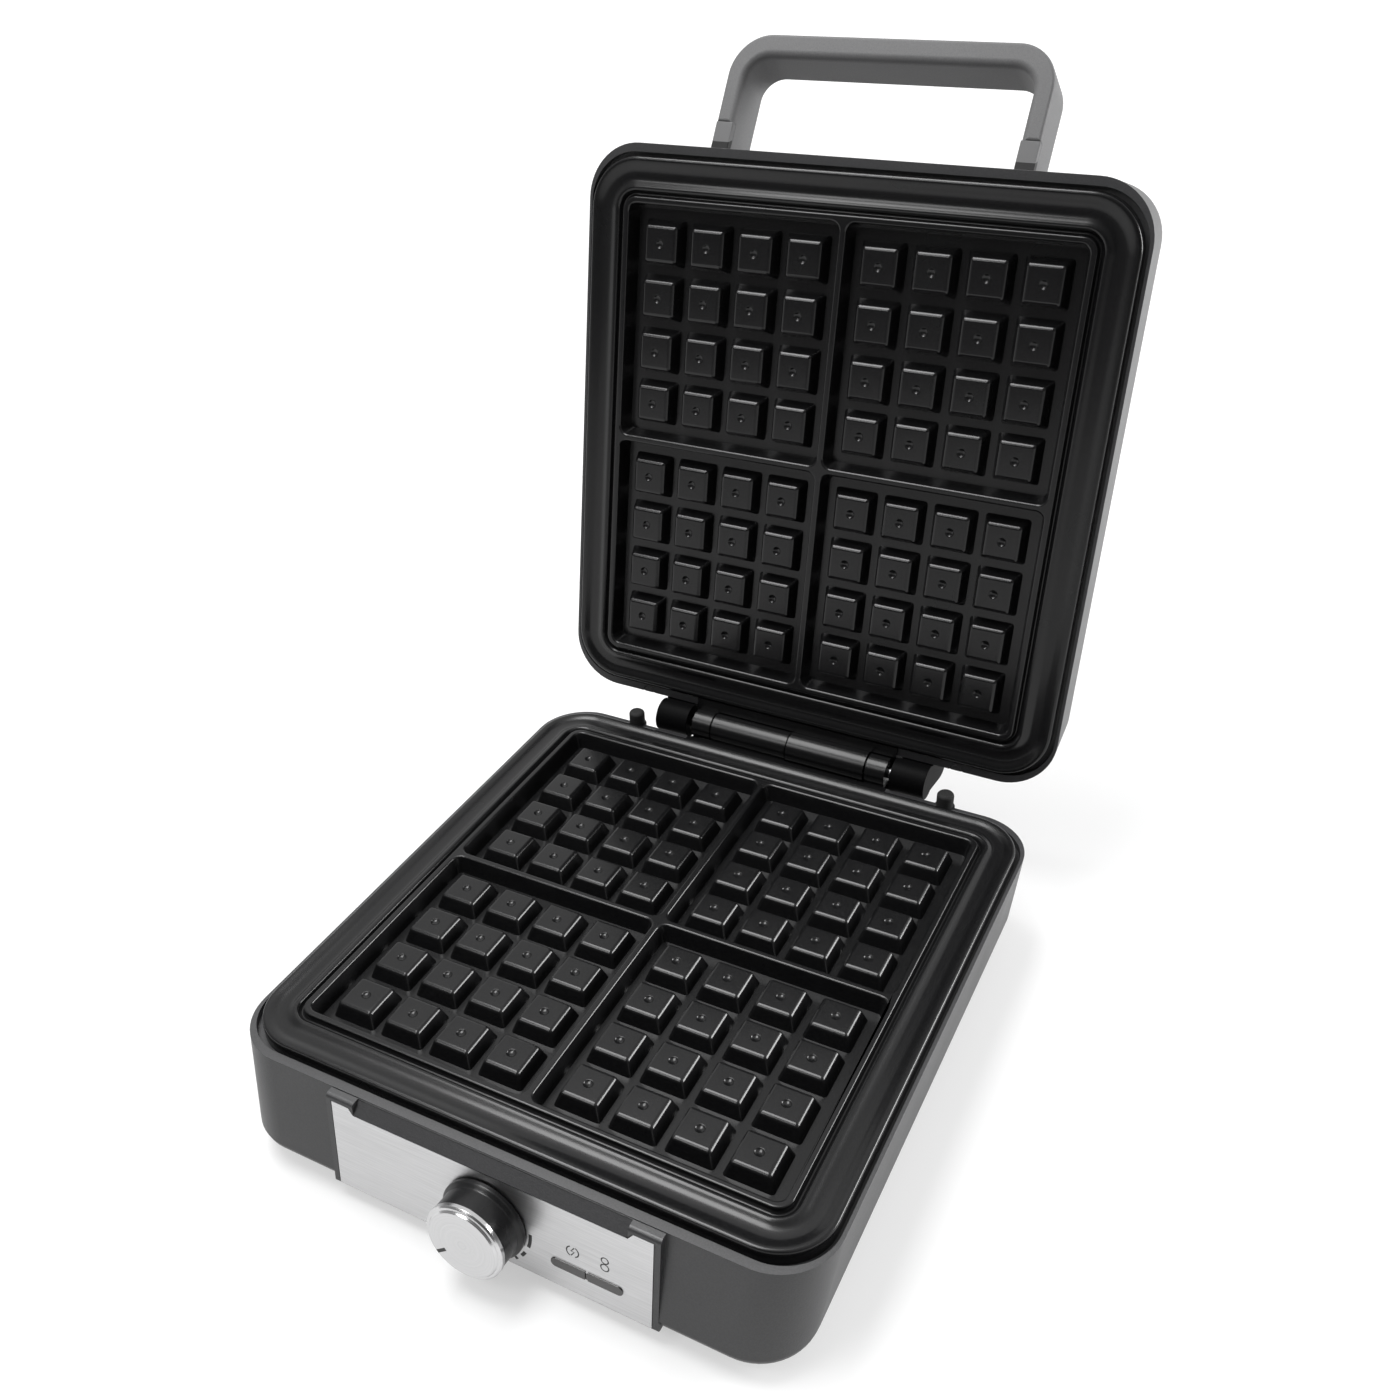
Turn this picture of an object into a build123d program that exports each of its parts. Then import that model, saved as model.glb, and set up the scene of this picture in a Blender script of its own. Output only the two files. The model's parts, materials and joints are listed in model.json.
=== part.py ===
"""Square waffle maker, shown open: a base with a control panel, and a lid on a pin hinge.

Millimetres. X runs to the right along the front, Y to the back, Z up from the table.
Pieces are drawn about the centre of the lower waffle plate, with the table at zero. Pieces of
the lid are drawn closed and then turned open about the hinge pin. At the end the whole moves
forward, so that the origin lies on the table under the middle of the open object.
"""
from build123d import *
import math
import os

# Heights, the lid's motion and the last move forward
parting_z = 60.0
lid_open_angle = 100.6
hinge_y = 146.8
closed_gap = 0.15
move_forward = 51.8

# Reach of solids that only cut: past a surface, and past the whole object
cut_over = 20.0
cut_far = 300.0

# Bands that a large rounded edge is drawn with
round_bands = 3

# Peg field of a waffle plate
pegs_per_side = 4
peg_pitch_x = 24.5
peg_pitch_y = 25.26
peg_first_x = 17.98
peg_first_y = 18.7
peg_top_x = 16.2
peg_top_y = 16.4
peg_height = 7.1
peg_draft = 2.5
peg_drop = 1.4

# Ridge, channel and rim of a waffle plate
ridge_half_x = 110.0
ridge_half_y = 113.5
ridge_corner = 5.0
ridge_half_top = 1.2
ridge_foot = 2.0
channel_floor_end = 3.5
channel_depth = 3.5
channel_bend = (5.0, 1.1)
rim_flat_start = 7.0
rim_flat_end = 15.0
rim_edge = 19.2
rim_drop = 0.8
rim_round = 4.2
rim_bend = (3.0, 1.2)
skirt_depth = 8.0
skirt_wall = 3.0
rim_wall = 2.4
divider_half_top = 1.4
pocket_draft = 2.3
pocket_corner = 4.5
plate_floor = 3.0

# Posts and screws that hold a plate down
post_x = 88.0
post_y = 74.0
post_half = 4.6
post_length = 11.0
screw_radius = 1.9
screw_head_radius = 3.6
screw_head_height = 2.2
screw_head_recess = 4.4
screw_head_sides = 6
small_sides = 8
screw_clearance = 0.05
screw_bite = 8.0

# Heating tube under a plate, pressed to flat sides, and the straps that hold it
element_half = 3.3
element_half_x = 62.0
element_front_y = -66.0
element_back_y = 92.0
element_bend = 26.0
element_clearance = 0.1
rib_width = 2.6
rib_height = 3.2
terminal_radius = 1.6
terminal_length = 9.0
strap_y_places = (-20.0, 60.0)
strap_half_length = 67.0
strap_width = 10.0
strap_thickness = 1.0
strap_screw_x = 34.0
strap_boss_half = 4.0
strap_screw_bite = 5.0

# Heat reflector tray under an element
reflector_half_x = 104.0
reflector_half_y = 106.0
reflector_corner = 12.0
reflector_sheet = 0.8
reflector_rim = 7.0

# Shells of the base and the lid
ledge_drop = 4.5
shell_half_x = 132.5
shell_half_y = 138.5
shell_corner = 26.0
shell_wall = 2.8
mouth_half_x = 131.0
mouth_half_y = 134.5
mouth_corner = 23.5
ledge_half_x = 125.5
ledge_half_y = 128.8
ledge_corner = 18.0
ledge_thickness = 3.0

# Base shell below the ledge
base_bottom_z = 8.1
base_bottom_half_x = 128.5
base_bottom_front = -147.5
base_bottom_back = 141.0
base_bottom_corner = 24.8
base_bottom_round = 6.0
front_wall = 3.8
base_flange = 11.0
base_flange_thickness = 5.0

# Bottom cover, feet and their screws
cover_gap = 0.3
cover_seat = 4.0
cover_thickness = 2.4
cover_boss_half = 5.6
vent_count = 9
vent_pitch = 9.0
vent_width = 3.2
vent_length = 60.0
vent_y = 45.0
foot_x = 98.0
foot_front_y = -108.0
foot_back_y = 101.0
foot_radius = 10.0
foot_tip_radius = 8.5
foot_stem_radius = 3.0

# Control box and panel on the front
panel_tilt = 7.0
panel_top_y = -142.6
panel_top_z = 55.6
control_back_y = -130.0
control_half_x = 75.3
control_bottom_z = 7.1
control_top_z = 55.0
control_round = 2.0
visor_half_x = 62.0
visor_back = (-138.8, 54.4)
visor_front = (-143.4, 49.9)
panel_half_x = 72.5
panel_ear_z = 52.6
panel_notch_z = 49.6
panel_notch_slope = 2.2
panel_bottom_z = 8.8
panel_sheet = 0.8
panel_seat_gap = 0.3
panel_pocket_half_x = 66.0
panel_pocket_low_z = 15.0
panel_pocket_high_z = 44.0
panel_pocket_skin = 2.4
panel_pocket_depth = 14.0

# Control knob and thermostat
knob_z = 27.6
knob_ring_radius = 18.5
knob_ring_height = 2.0
knob_skirt_radius = 17.0
knob_length = 16.0
knob_wall = 2.0
knob_gap = 0.5
cap_radius = 17.3
cap_height = 3.2
cap_step = 0.9
cap_bevel = 0.7
knob_boss_recess = 2.0
knob_skin = 1.5
marker_angle = 219.0
marker_reach = 12.6
marker_length = 5.0
marker_width = 1.5
marker_depth = 0.5
shaft_radius = 3.0
shaft_running_gap = 0.06
thermostat_radius = 12.0
thermostat_depth = 17.0
thermostat_neck_radius = 5.0
thermostat_neck_gap = 0.3
thermostat_bracket_half = 18.0
thermostat_bracket_half_height = 9.6
thermostat_bracket_sheet = 1.2
bulb_radius = 3.3
bulb_length = 46.0
capillary_radius = 0.8
capillary_rise = 8.0
capillary_end_gap = 0.3
capillary_slot_half = (2.0, 12.0)

# Lamp lenses
lamp_low_x = 29.3
lamp_high_x = 59.6
lamp_z = 20.3
lamp_height = 3.0
lamp_joint = 0.5
lens_stand = 0.3
lens_depth = 4.6
lens_gap = 0.15
lamp_wall_gap = 0.6
lamp_holder_side = 4.0
lamp_holder_depth = 8.0
lamp_holder_height = 10.0
neon_radius = 2.2
neon_length = 9.0
neon_gap = 0.2

# Hinge
pin_radius = 3.0
pin_half_length = 72.0
pin_running_gap = 0.06
pin_seat_gap = 0.03
barrel_radius = 7.5
lid_barrel_radius = 8.1
knuckle_break = 0.4
long_knuckle_end = 42.8
short_knuckle_start = 43.6
short_knuckle_end = 54.0
saddle_gap = 0.5
bracket_half_x = 56.0
bracket_front_y = 136.0
bracket_low_z = 38.0
bracket_high_z = 55.6
bracket_back_y = 150.5
lid_bracket_front_y = 134.0
lid_bracket_rise = 3.0
lid_bracket_depth = 24.0
lid_bracket_back = 5.0
arm_inner_x = 58.7
arm_width = 16.3
arm_disc = 1.8
arm_eye_radius = 8.7
arm_depth = 30.0
arm_corner = 8.0
arm_relief = 4.0
arm_back_y = 153.5
button_x = 86.5
button_y = 138.3
button_radius = 4.2
button_chamfer = 1.2
button_top_z = 63.5
button_boss_radius = 5.0
button_boss_height = 9.0
button_stem_radius = 2.0
button_stem_length = 5.5

# Lid shell
lid_depth = 46.0
lid_top_half_x = 130.3
lid_top_half_y = 135.4
lid_top_corner = 24.0
lid_top_round = 8.0
lid_inner_lean = 2.0
lid_screw_depth = 9.0
lid_cover_half_x = 108.0
lid_cover_half_y = 112.0
lid_cover_corner = 14.0
lid_cover_recess = 2.0
lid_cover_crown = 1.2

# Handle, drawn on the slope of its underside
handle_foot = (-143.4, 80.7)
handle_slope = 23.1
handle_reach = 47.6
handle_half_x = 76.0
handle_leg = 8.6
handle_bar = 10.0
handle_corner = 19.0
handle_inner_corner = 11.0
handle_face_shell = 3.5
handle_back_shell = 21.0
handle_insert_length = 6.5
handle_root = 14.0
handle_root_depth = 4.0

# Electrical pieces in the base
bush_x = -88.0
bush_z = 26.0
bush_bore = 3.4
bush_wall_radius = 6.0
bush_flange_radius = 9.0
bush_flange = 2.4
bush_outer = 9.0
bush_inner = 7.0
block_size = (30.0, 16.0, 14.0)
block_place = (-70.0, 96.0)
block_pole_radius = 3.0
block_pole_pitch = 9.0
block_pole_rise = 7.7
fuse_radius = 3.3
fuse_length = 14.0
fuse_x = 20.0

pivot_z = parting_z
ledge_z = parting_z - ledge_drop
seat_z = parting_z - skirt_depth
pocket_floor_z = -peg_drop - peg_height
plate_under_z = pocket_floor_z - plate_floor
element_z = plate_under_z - element_half
strap_z = element_z - element_half
reflector_z = plate_under_z - post_length
wall_back = -panel_sheet - panel_pocket_skin
screw_hole = screw_radius + screw_clearance
tilt_sin = math.sin(math.radians(panel_tilt))
tilt_cos = math.cos(math.radians(panel_tilt))
tilt_tan = math.tan(math.radians(panel_tilt))


def outline(half_x, y_front, y_back, corner, z):
    """Rounded rectangle at height z, between two Y values."""
    shape = RectangleRounded(2 * half_x, y_back - y_front, corner)
    return Plane.XY.offset(z) * Pos(0, (y_front + y_back) / 2) * shape


def column(x, y, z_low, z_high, radius):
    """Upright cylinder between two heights."""
    return Pos(x, y, (z_low + z_high) / 2) * Cylinder(radius, z_high - z_low)


def prism(x, y, z_low, z_high, radius, sides=small_sides):
    """Upright many-sided bar between two heights, for screws and cored holes."""
    return extrude(Pos(x, y, z_low) * RegularPolygon(radius, sides), amount=z_high - z_low)


def square_post(x, y, z_low, z_high, half):
    """Upright square post between two heights."""
    return block(x - half, x + half, y - half, y + half, z_low, z_high)


def block(x_low, x_high, y_low, y_high, z_low, z_high):
    """Box between two corners."""
    middle = ((x_low + x_high) / 2, (y_low + y_high) / 2, (z_low + z_high) / 2)
    return Pos(*middle) * Box(x_high - x_low, y_high - y_low, z_high - z_low)


def rod_x(x_low, x_high, y, z, radius):
    """Cylinder along X."""
    middle = (x_low + x_high) / 2
    return Pos(middle, y, z) * Rot(0, 90, 0) * Cylinder(radius, x_high - x_low)


def side_slab(points, x_low, x_high):
    """Outline in Y and Z, given thickness along X."""
    profile = make_face(Polyline(*[(0, y, z) for y, z in points], close=True))
    return extrude(Pos(x_low, 0, 0) * profile, amount=x_high - x_low, dir=(1, 0, 0))


def round_steps(radius):
    """Inset and rise of a rounded edge's bands, from the flat face to the wall."""
    turns = [math.radians(90 * number / round_bands) for number in range(round_bands + 1)]
    return [(radius * (1 - math.sin(turn)), radius * (1 - math.cos(turn))) for turn in turns]


def mirror_x(shape):
    return mirror(shape, about=Plane.YZ)


def corners(x, y):
    """The four places that mirror each other about both middle lines."""
    return [(-x, -y), (x, -y), (-x, y), (x, y)]


def lower(shape):
    """From a plate's own frame, whose zero is the parting plane, to the base."""
    return Pos(0, 0, parting_z) * shape


def upper(shape):
    """From a plate's own frame to the lid, turned open."""
    return open_lid(Pos(0, 0, parting_z) * Rot(180, 0, 0) * shape)


def open_lid(shape):
    """Turn a piece of the closed lid open about the hinge pin."""
    turn = Pos(0, hinge_y, pivot_z) * Rot(-lid_open_angle, 0, 0) * Pos(0, -hinge_y, -pivot_z)
    return turn * shape


def panel_y(z):
    """Y of the control panel's sloping face at height z."""
    return panel_top_y - (panel_top_z - z) * tilt_tan


def panel_v(z):
    """Distance up the sloping panel from the knob's axis to height z."""
    return (z - knob_z) / tilt_cos


panel_plane = Plane(origin=(0, panel_y(knob_z), knob_z), x_dir=(1, 0, 0), z_dir=(0, -tilt_cos, tilt_sin))


# Waffle plates

def peg_places():
    """Centres of the pegs in all four pockets."""
    places = []
    for column_number in range(pegs_per_side):
        for row_number in range(pegs_per_side):
            x = peg_first_x + column_number * peg_pitch_x
            y = peg_first_y + row_number * peg_pitch_y
            places += corners(x, y)
    return places


def peg():
    """One tapered peg."""
    slope = math.degrees(math.atan(peg_draft / peg_height))
    base = Rectangle(peg_top_x + 2 * peg_draft, peg_top_y + 2 * peg_draft)
    return Pos(0, 0, pocket_floor_z) * extrude(base, amount=peg_height, taper=slope)


def rim_profile():
    """Section of the ridge, the channel, the flat and the rounded edge, at the front."""
    ridge_top = -closed_gap
    channel_floor = ridge_top - channel_depth
    underside = channel_floor - rim_wall
    points = [
        (0, ridge_top), (ridge_half_top, ridge_top), (ridge_foot, channel_floor),
        (channel_floor_end, channel_floor),
        (channel_bend[0], channel_floor + channel_bend[1]),
        (rim_flat_start, -rim_drop), (rim_flat_end, -rim_drop),
        (rim_flat_end + rim_bend[0], -rim_drop - rim_bend[1]),
        (rim_edge, -rim_drop - rim_round), (rim_edge, -skirt_depth),
        (rim_edge - skirt_wall, -skirt_depth), (rim_edge - skirt_wall, underside), (0, underside),
    ]
    section = Plane(origin=(0, -ridge_half_y, 0), x_dir=(0, -1, 0), z_dir=(-1, 0, 0))
    return section * make_face(Polyline(*points, close=True))


def rim_half():
    """Right half of the rim: its section led round the middle line of the ridge."""
    x = ridge_half_x
    y = ridge_half_y
    path = FilletPolyline((0, -y), (x, -y), (x, y), (0, y), radius=ridge_corner)
    return sweep(rim_profile(), path=path)


def pocket(sign_x, sign_y):
    """One of the four pockets, with leaning walls."""
    x_high = ridge_half_x - ridge_half_top
    y_high = ridge_half_y - ridge_half_top
    depth = -closed_gap - pocket_floor_z
    slope = math.degrees(math.atan(pocket_draft / depth))
    mouth = RectangleRounded(x_high - divider_half_top, y_high - divider_half_top, pocket_corner)
    centre_x = sign_x * (x_high + divider_half_top) / 2
    centre_y = sign_y * (y_high + divider_half_top) / 2
    return extrude(Pos(centre_x, centre_y, -closed_gap) * mouth, amount=-depth, taper=slope)


def element_path(z):
    """The heating tube's middle line: a wide U, open to the back."""
    points = [
        (-element_half_x, element_back_y, z),
        (-element_half_x, element_front_y, z),
        (element_half_x, element_front_y, z),
        (element_half_x, element_back_y, z),
    ]
    return FilletPolyline(*points, radius=element_bend)


def along_element(z, offset, width, height):
    """Rectangular bar led along the heating tube's line, to one side of it."""
    path = element_path(z)
    start = Plane(origin=path @ 0, x_dir=(1, 0, 0), z_dir=path % 0)
    return sweep(start * Pos(offset, 0) * Rectangle(width, height), path=path)


def element_ribs():
    """Two cast ribs on the plate's underside that keep the heating tube in line."""
    offset = element_half + element_clearance + rib_width / 2
    middle_z = plate_under_z - rib_height / 2
    return [along_element(middle_z, side * offset, rib_width, rib_height) for side in (-1, 1)]


def strap_screw_places():
    return [(side * strap_screw_x, y) for side in (-1, 1) for y in strap_y_places]


def waffle_plate():
    """Cast plate in its own frame: zero is the parting plane, the plate lies below it."""
    rim = rim_half()
    core = extrude(outline(ridge_half_x, -ridge_half_y, ridge_half_y, ridge_corner, -closed_gap),
                   amount=-(-closed_gap - plate_under_z))
    plate = core + rim + mirror_x(rim)
    for sign_x in (-1, 1):
        for sign_y in (-1, 1):
            plate -= pocket(sign_x, sign_y)
    one_peg = peg()
    plate = plate + [Pos(x, y, 0) * one_peg for x, y in peg_places()]
    posts = [square_post(x, y, reflector_z, plate_under_z, post_half)
             for x, y in corners(post_x, post_y)]
    bosses = [square_post(x, y, strap_z, plate_under_z, strap_boss_half)
              for x, y in strap_screw_places()]
    plate = plate + element_ribs() + posts + bosses
    for x, y in corners(post_x, post_y):
        plate -= prism(x, y, reflector_z, plate_under_z, screw_hole)
    for x, y in strap_screw_places():
        plate -= prism(x, y, strap_z, plate_under_z, screw_hole)
    return plate


def heating_element():
    """Tube with two thin terminal pins at its ends."""
    tube = along_element(element_z, 0, 2 * element_half, 2 * element_half)
    pins = []
    for side in (-1, 1):
        middle = Pos(side * element_half_x, element_back_y + terminal_length / 2, element_z)
        pins.append(middle * Rot(90, 0, 0) * Cylinder(terminal_radius, terminal_length))
    return tube + pins


def screw_head(x, y, low, high):
    return prism(x, y, low, high, screw_head_radius, screw_head_sides)


def screw(x, y, seat, length):
    """Hexagon-head screw whose head hangs below its seat and whose shank points up."""
    head = screw_head(x, y, seat - screw_head_height, seat)
    return head + prism(x, y, seat, seat + length, screw_radius)


def element_clamps():
    """Flat straps across both runs of the tube, each with its two screws."""
    low = strap_z - strap_thickness
    pieces = []
    for y in strap_y_places:
        strap = block(-strap_half_length, strap_half_length, y - strap_width / 2,
                      y + strap_width / 2, low, strap_z)
        for x in (-strap_screw_x, strap_screw_x):
            strap -= prism(x, y, low, strap_z, screw_hole)
            pieces.append(screw(x, y, low, strap_thickness + strap_screw_bite))
        pieces.append(strap)
    return Compound(pieces)


def heat_reflector():
    """Shallow bright tray below the element, with a rim turned up towards the plate."""
    bottom = reflector_z - reflector_sheet
    outer = extrude(outline(reflector_half_x, -reflector_half_y, reflector_half_y,
                            reflector_corner, bottom), amount=reflector_sheet + reflector_rim)
    inner = extrude(outline(reflector_half_x - reflector_sheet,
                            reflector_sheet - reflector_half_y, reflector_half_y - reflector_sheet,
                            reflector_corner - reflector_sheet, reflector_z),
                    amount=reflector_rim)
    tray = outer - inner
    for x, y in corners(post_x, post_y):
        tray -= prism(x, y, bottom, reflector_z, screw_hole)
    return tray


def capillary_slot():
    """Slot where the sensor's capillary passes down through the lower reflector."""
    start, end = capillary_ends()
    tray_z = parting_z + reflector_z - reflector_sheet / 2
    share = (start[2] - tray_z) / (start[2] - end[2])
    y = start[1] + share * (end[1] - start[1])
    half_x, half_y = capillary_slot_half
    return block(-half_x, half_x, y - half_y, y + half_y, tray_z - reflector_sheet,
                 tray_z + reflector_sheet)


# Base

def base_outer():
    """Outside of the base: leaning walls over a rounded foot, drawn in level bands."""
    bands = []
    for inset, rise in round_steps(base_bottom_round):
        bands.append(outline(base_bottom_half_x - inset, base_bottom_front + inset,
                             base_bottom_back - inset, base_bottom_corner - inset,
                             base_bottom_z + rise))
    bands.append(outline(shell_half_x, -shell_half_y, shell_half_y, shell_corner, ledge_z))
    return loft(bands, ruled=True)


def control_box():
    """Raised box on the front wall, with a sloping visor over the panel."""
    points = [(control_back_y, control_top_z), (panel_y(control_top_z), control_top_z),
              (panel_y(control_bottom_z), control_bottom_z), (control_back_y, control_bottom_z)]
    box = side_slab(points, -control_half_x, control_half_x)
    front_edges = box.edges().filter_by(Axis.X).sort_by(Axis.Y)[0:2]
    box = fillet(front_edges, control_round)
    front = visor_front[0] - cut_over
    high = visor_back[1] + cut_over
    visor_cut = side_slab([visor_back, visor_front, (front, visor_front[1]), (front, high),
                           (visor_back[0], high)], -visor_half_x, visor_half_x)
    return box - visor_cut


def panel_sketch(grow):
    """Outline of the control panel, notched along its top."""
    side = panel_half_x + grow
    bottom = panel_v(panel_bottom_z) - grow
    ear = panel_v(panel_ear_z) + grow
    notch = panel_v(panel_notch_z) + grow
    inner = visor_half_x - grow
    points = [(-side, bottom), (side, bottom), (side, ear), (inner + panel_notch_slope, ear),
              (inner, notch), (-inner, notch), (-inner - panel_notch_slope, ear), (-side, ear)]
    return make_face(Polyline(*points, close=True))


def lamp_slot(grow):
    """Pill-shaped slot for the two lamp lenses."""
    length = lamp_high_x - lamp_low_x + 2 * grow
    middle = (lamp_low_x + lamp_high_x) / 2
    return Pos(middle, panel_v(lamp_z)) * SlotOverall(length, lamp_height + 2 * grow)


def panel_solid(sketch, outward_low, outward_high):
    """Thicken a sketch drawn on the panel's face, from one depth to another."""
    plane = panel_plane.offset(outward_low)
    return extrude(plane * sketch, amount=outward_high - outward_low)


def base_cover_sketch(grow, z):
    inset = base_flange - grow
    return outline(base_bottom_half_x - inset, base_bottom_front + inset,
                   base_bottom_back - inset, base_bottom_corner - inset, z)


def base_housing():
    """Moulded tub: leaning walls, rounded foot, ledge for the plate, raised control box."""
    shell = base_outer() + control_box()
    flange_top = base_bottom_z + base_flange_thickness
    ledge_under = seat_z - ledge_thickness
    low = outline(base_bottom_half_x - shell_wall, base_bottom_front + front_wall,
                  base_bottom_back - shell_wall, base_bottom_corner - shell_wall, flange_top)
    high = outline(shell_half_x - shell_wall, shell_wall - shell_half_y,
                   shell_half_y - shell_wall, shell_corner - shell_wall, ledge_under)
    shell -= loft([low, high], ruled=True)
    shell -= extrude(outline(ledge_half_x, -ledge_half_y, ledge_half_y, ledge_corner, ledge_under),
                     amount=ledge_drop + skirt_depth + ledge_thickness)
    shell -= extrude(outline(mouth_half_x, -mouth_half_y, mouth_half_y, mouth_corner, seat_z),
                     amount=skirt_depth)
    shell -= extrude(base_cover_sketch(cover_gap, base_bottom_z - cut_over),
                     amount=cover_thickness + cut_over)
    shell -= extrude(base_cover_sketch(-cover_seat, base_bottom_z), amount=base_flange_thickness)
    shell = shell + button_bosses()
    shell -= panel_solid(panel_sketch(panel_seat_gap), -panel_sheet, cut_over)
    pocket_height = panel_v(panel_pocket_high_z) - panel_v(panel_pocket_low_z)
    pocket_middle = (panel_v(panel_pocket_high_z) + panel_v(panel_pocket_low_z)) / 2
    pocket_face = Pos(0, pocket_middle) * Rectangle(2 * panel_pocket_half_x, pocket_height)
    shell -= panel_solid(pocket_face, -panel_pocket_depth, wall_back)
    shell -= panel_solid(Circle(thermostat_neck_radius + thermostat_neck_gap), -cut_over, 0)
    shell -= panel_solid(lamp_slot(lamp_wall_gap), -cut_over, 0)
    shell -= bush_hole()
    for side in (-1, 1):
        shell -= prism(side * button_x, button_y, ledge_z - button_stem_length, ledge_z,
                       button_stem_radius + screw_clearance)
    return shell


def button_bosses():
    return [column(side * button_x, button_y, ledge_z - button_boss_height, ledge_z,
                   button_boss_radius) for side in (-1, 1)]


def lower_plate_screws():
    """Long screws that draw the plate, the reflector, the housing and the cover together."""
    length = parting_z + reflector_z + screw_bite - base_bottom_z
    return Compound([screw(x, y, base_bottom_z, length) for x, y in corners(post_x, post_y)])


def bottom_cover():
    """Flat cover let into the foot of the tub, with vents and a tall boss round each long screw."""
    cover = extrude(base_cover_sketch(0, base_bottom_z), amount=cover_thickness)
    cover_top = base_bottom_z + cover_thickness
    boss_top = parting_z + reflector_z - reflector_sheet
    slots = []
    for sign in (-1, 1):
        for number in range(vent_count):
            x = (number - (vent_count - 1) / 2) * vent_pitch
            slots.append(Pos(x, sign * vent_y, base_bottom_z) * Box(vent_width, vent_length,
                                                                    3 * cover_thickness))
    cover -= slots
    cover = cover + [square_post(x, y, cover_top, boss_top, cover_boss_half)
                     for x, y in corners(post_x, post_y)]
    for x, y in corners(post_x, post_y):
        cover -= prism(x, y, base_bottom_z, boss_top, screw_hole)
    for x, y in foot_places():
        cover -= prism(x, y, base_bottom_z, cover_top, foot_stem_radius)
    return cover


def foot_places():
    return [(-foot_x, foot_front_y), (foot_x, foot_front_y), (-foot_x, foot_back_y),
            (foot_x, foot_back_y)]


def rubber_feet():
    """Tapered feet with a stem that is pressed into the cover."""
    middle = Pos(0, 0, base_bottom_z / 2)
    foot = middle * Cone(foot_tip_radius, foot_radius, base_bottom_z)
    foot += prism(0, 0, base_bottom_z, base_bottom_z + cover_thickness, foot_stem_radius)
    return Compound([Pos(x, y, 0) * foot for x, y in foot_places()])


def control_panel():
    panel = panel_solid(panel_sketch(0), -panel_sheet, 0)
    panel -= panel_solid(Circle(thermostat_neck_radius + thermostat_neck_gap), -panel_sheet, 0)
    panel -= panel_solid(lamp_slot(0), -panel_sheet, 0)
    return panel


def lamp_lens(side):
    """One half of the lamp slot's clear insert."""
    length = lamp_high_x - lamp_low_x
    middle = (lamp_low_x + lamp_high_x) / 2 + side * (length + lamp_joint) / 2
    half_face = Pos(middle, panel_v(lamp_z)) * Rectangle(length, lamp_holder_height)
    sketch = lamp_slot(-lens_gap) & half_face
    return panel_solid(sketch, -lens_depth, lens_stand)


def lamp_holder():
    """Carrier behind the panel, with a cradle for each lamp."""
    length = lamp_high_x - lamp_low_x + 2 * lamp_holder_side
    middle = (lamp_low_x + lamp_high_x) / 2
    face = Pos(middle, panel_v(lamp_z)) * Rectangle(length, lamp_holder_height)
    carrier = panel_solid(face, wall_back - lamp_holder_depth, wall_back)
    carrier -= panel_solid(lamp_slot(2 * lens_gap), -lens_depth - lens_gap, 0)
    for side in (-1, 1):
        carrier -= neon_space(side, neon_gap)
    return carrier


def neon_space(side, gap):
    middle = (lamp_low_x + lamp_high_x) / 2 + side * (lamp_high_x - lamp_low_x) / 4
    face = Pos(middle, panel_v(lamp_z)) * Circle(neon_radius + gap)
    front = -lens_depth - 2 * lens_gap
    return panel_solid(face, front - neon_length, front)


def indicator_lamps():
    return Compound([neon_space(side, 0) for side in (-1, 1)])


# Knob and thermostat

def knob_turned(points):
    """Turn a half section about the knob's axis: first value radius, second outward."""
    face = make_face(Polyline(*points, close=True))
    solid = revolve(Plane.XZ * face, axis=Axis.Z)
    return panel_plane.location * solid


def knob_body():
    """Black skirt with a wider foot ring and a bored boss inside."""
    neck = knob_length - cap_height
    floor = knob_gap + knob_boss_recess
    ring_top = knob_gap + knob_ring_height
    points = [(shaft_radius, floor), (knob_skirt_radius - knob_wall, floor),
              (knob_skirt_radius - knob_wall, knob_gap), (knob_ring_radius, knob_gap),
              (knob_ring_radius, ring_top),
              (knob_skirt_radius, ring_top + knob_ring_radius - knob_skirt_radius),
              (knob_skirt_radius, neck), (0, neck), (0, neck - knob_skin),
              (shaft_radius, neck - knob_skin)]
    return knob_turned(points)


def marker_solid(low, high):
    angle = math.radians(marker_angle)
    place = Pos(marker_reach * math.cos(angle), marker_reach * math.sin(angle))
    return panel_solid(place * Rot(0, 0, marker_angle) * Rectangle(marker_length, marker_width),
                       low, high)


def knob_cap():
    """Bright cap with two bevelled steps."""
    neck = knob_length - cap_height
    points = [(0, neck), (cap_radius, neck), (cap_radius, neck + cap_height - cap_step - cap_bevel),
              (cap_radius - cap_bevel, neck + cap_height - cap_step),
              (cap_radius - cap_step - cap_bevel, neck + cap_height - cap_step),
              (cap_radius - cap_step - 2 * cap_bevel, knob_length), (0, knob_length)]
    return knob_turned(points) - marker_solid(knob_length - marker_depth, knob_length)


def knob_marker():
    return marker_solid(knob_length - marker_depth, knob_length)


def thermostat_shaft():
    """Shaft from inside the thermostat into the knob's boss."""
    inner_end = wall_back - thermostat_depth / 2
    outer_end = knob_length - cap_height - knob_skin
    return panel_solid(Circle(shaft_radius), inner_end, outer_end)


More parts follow.
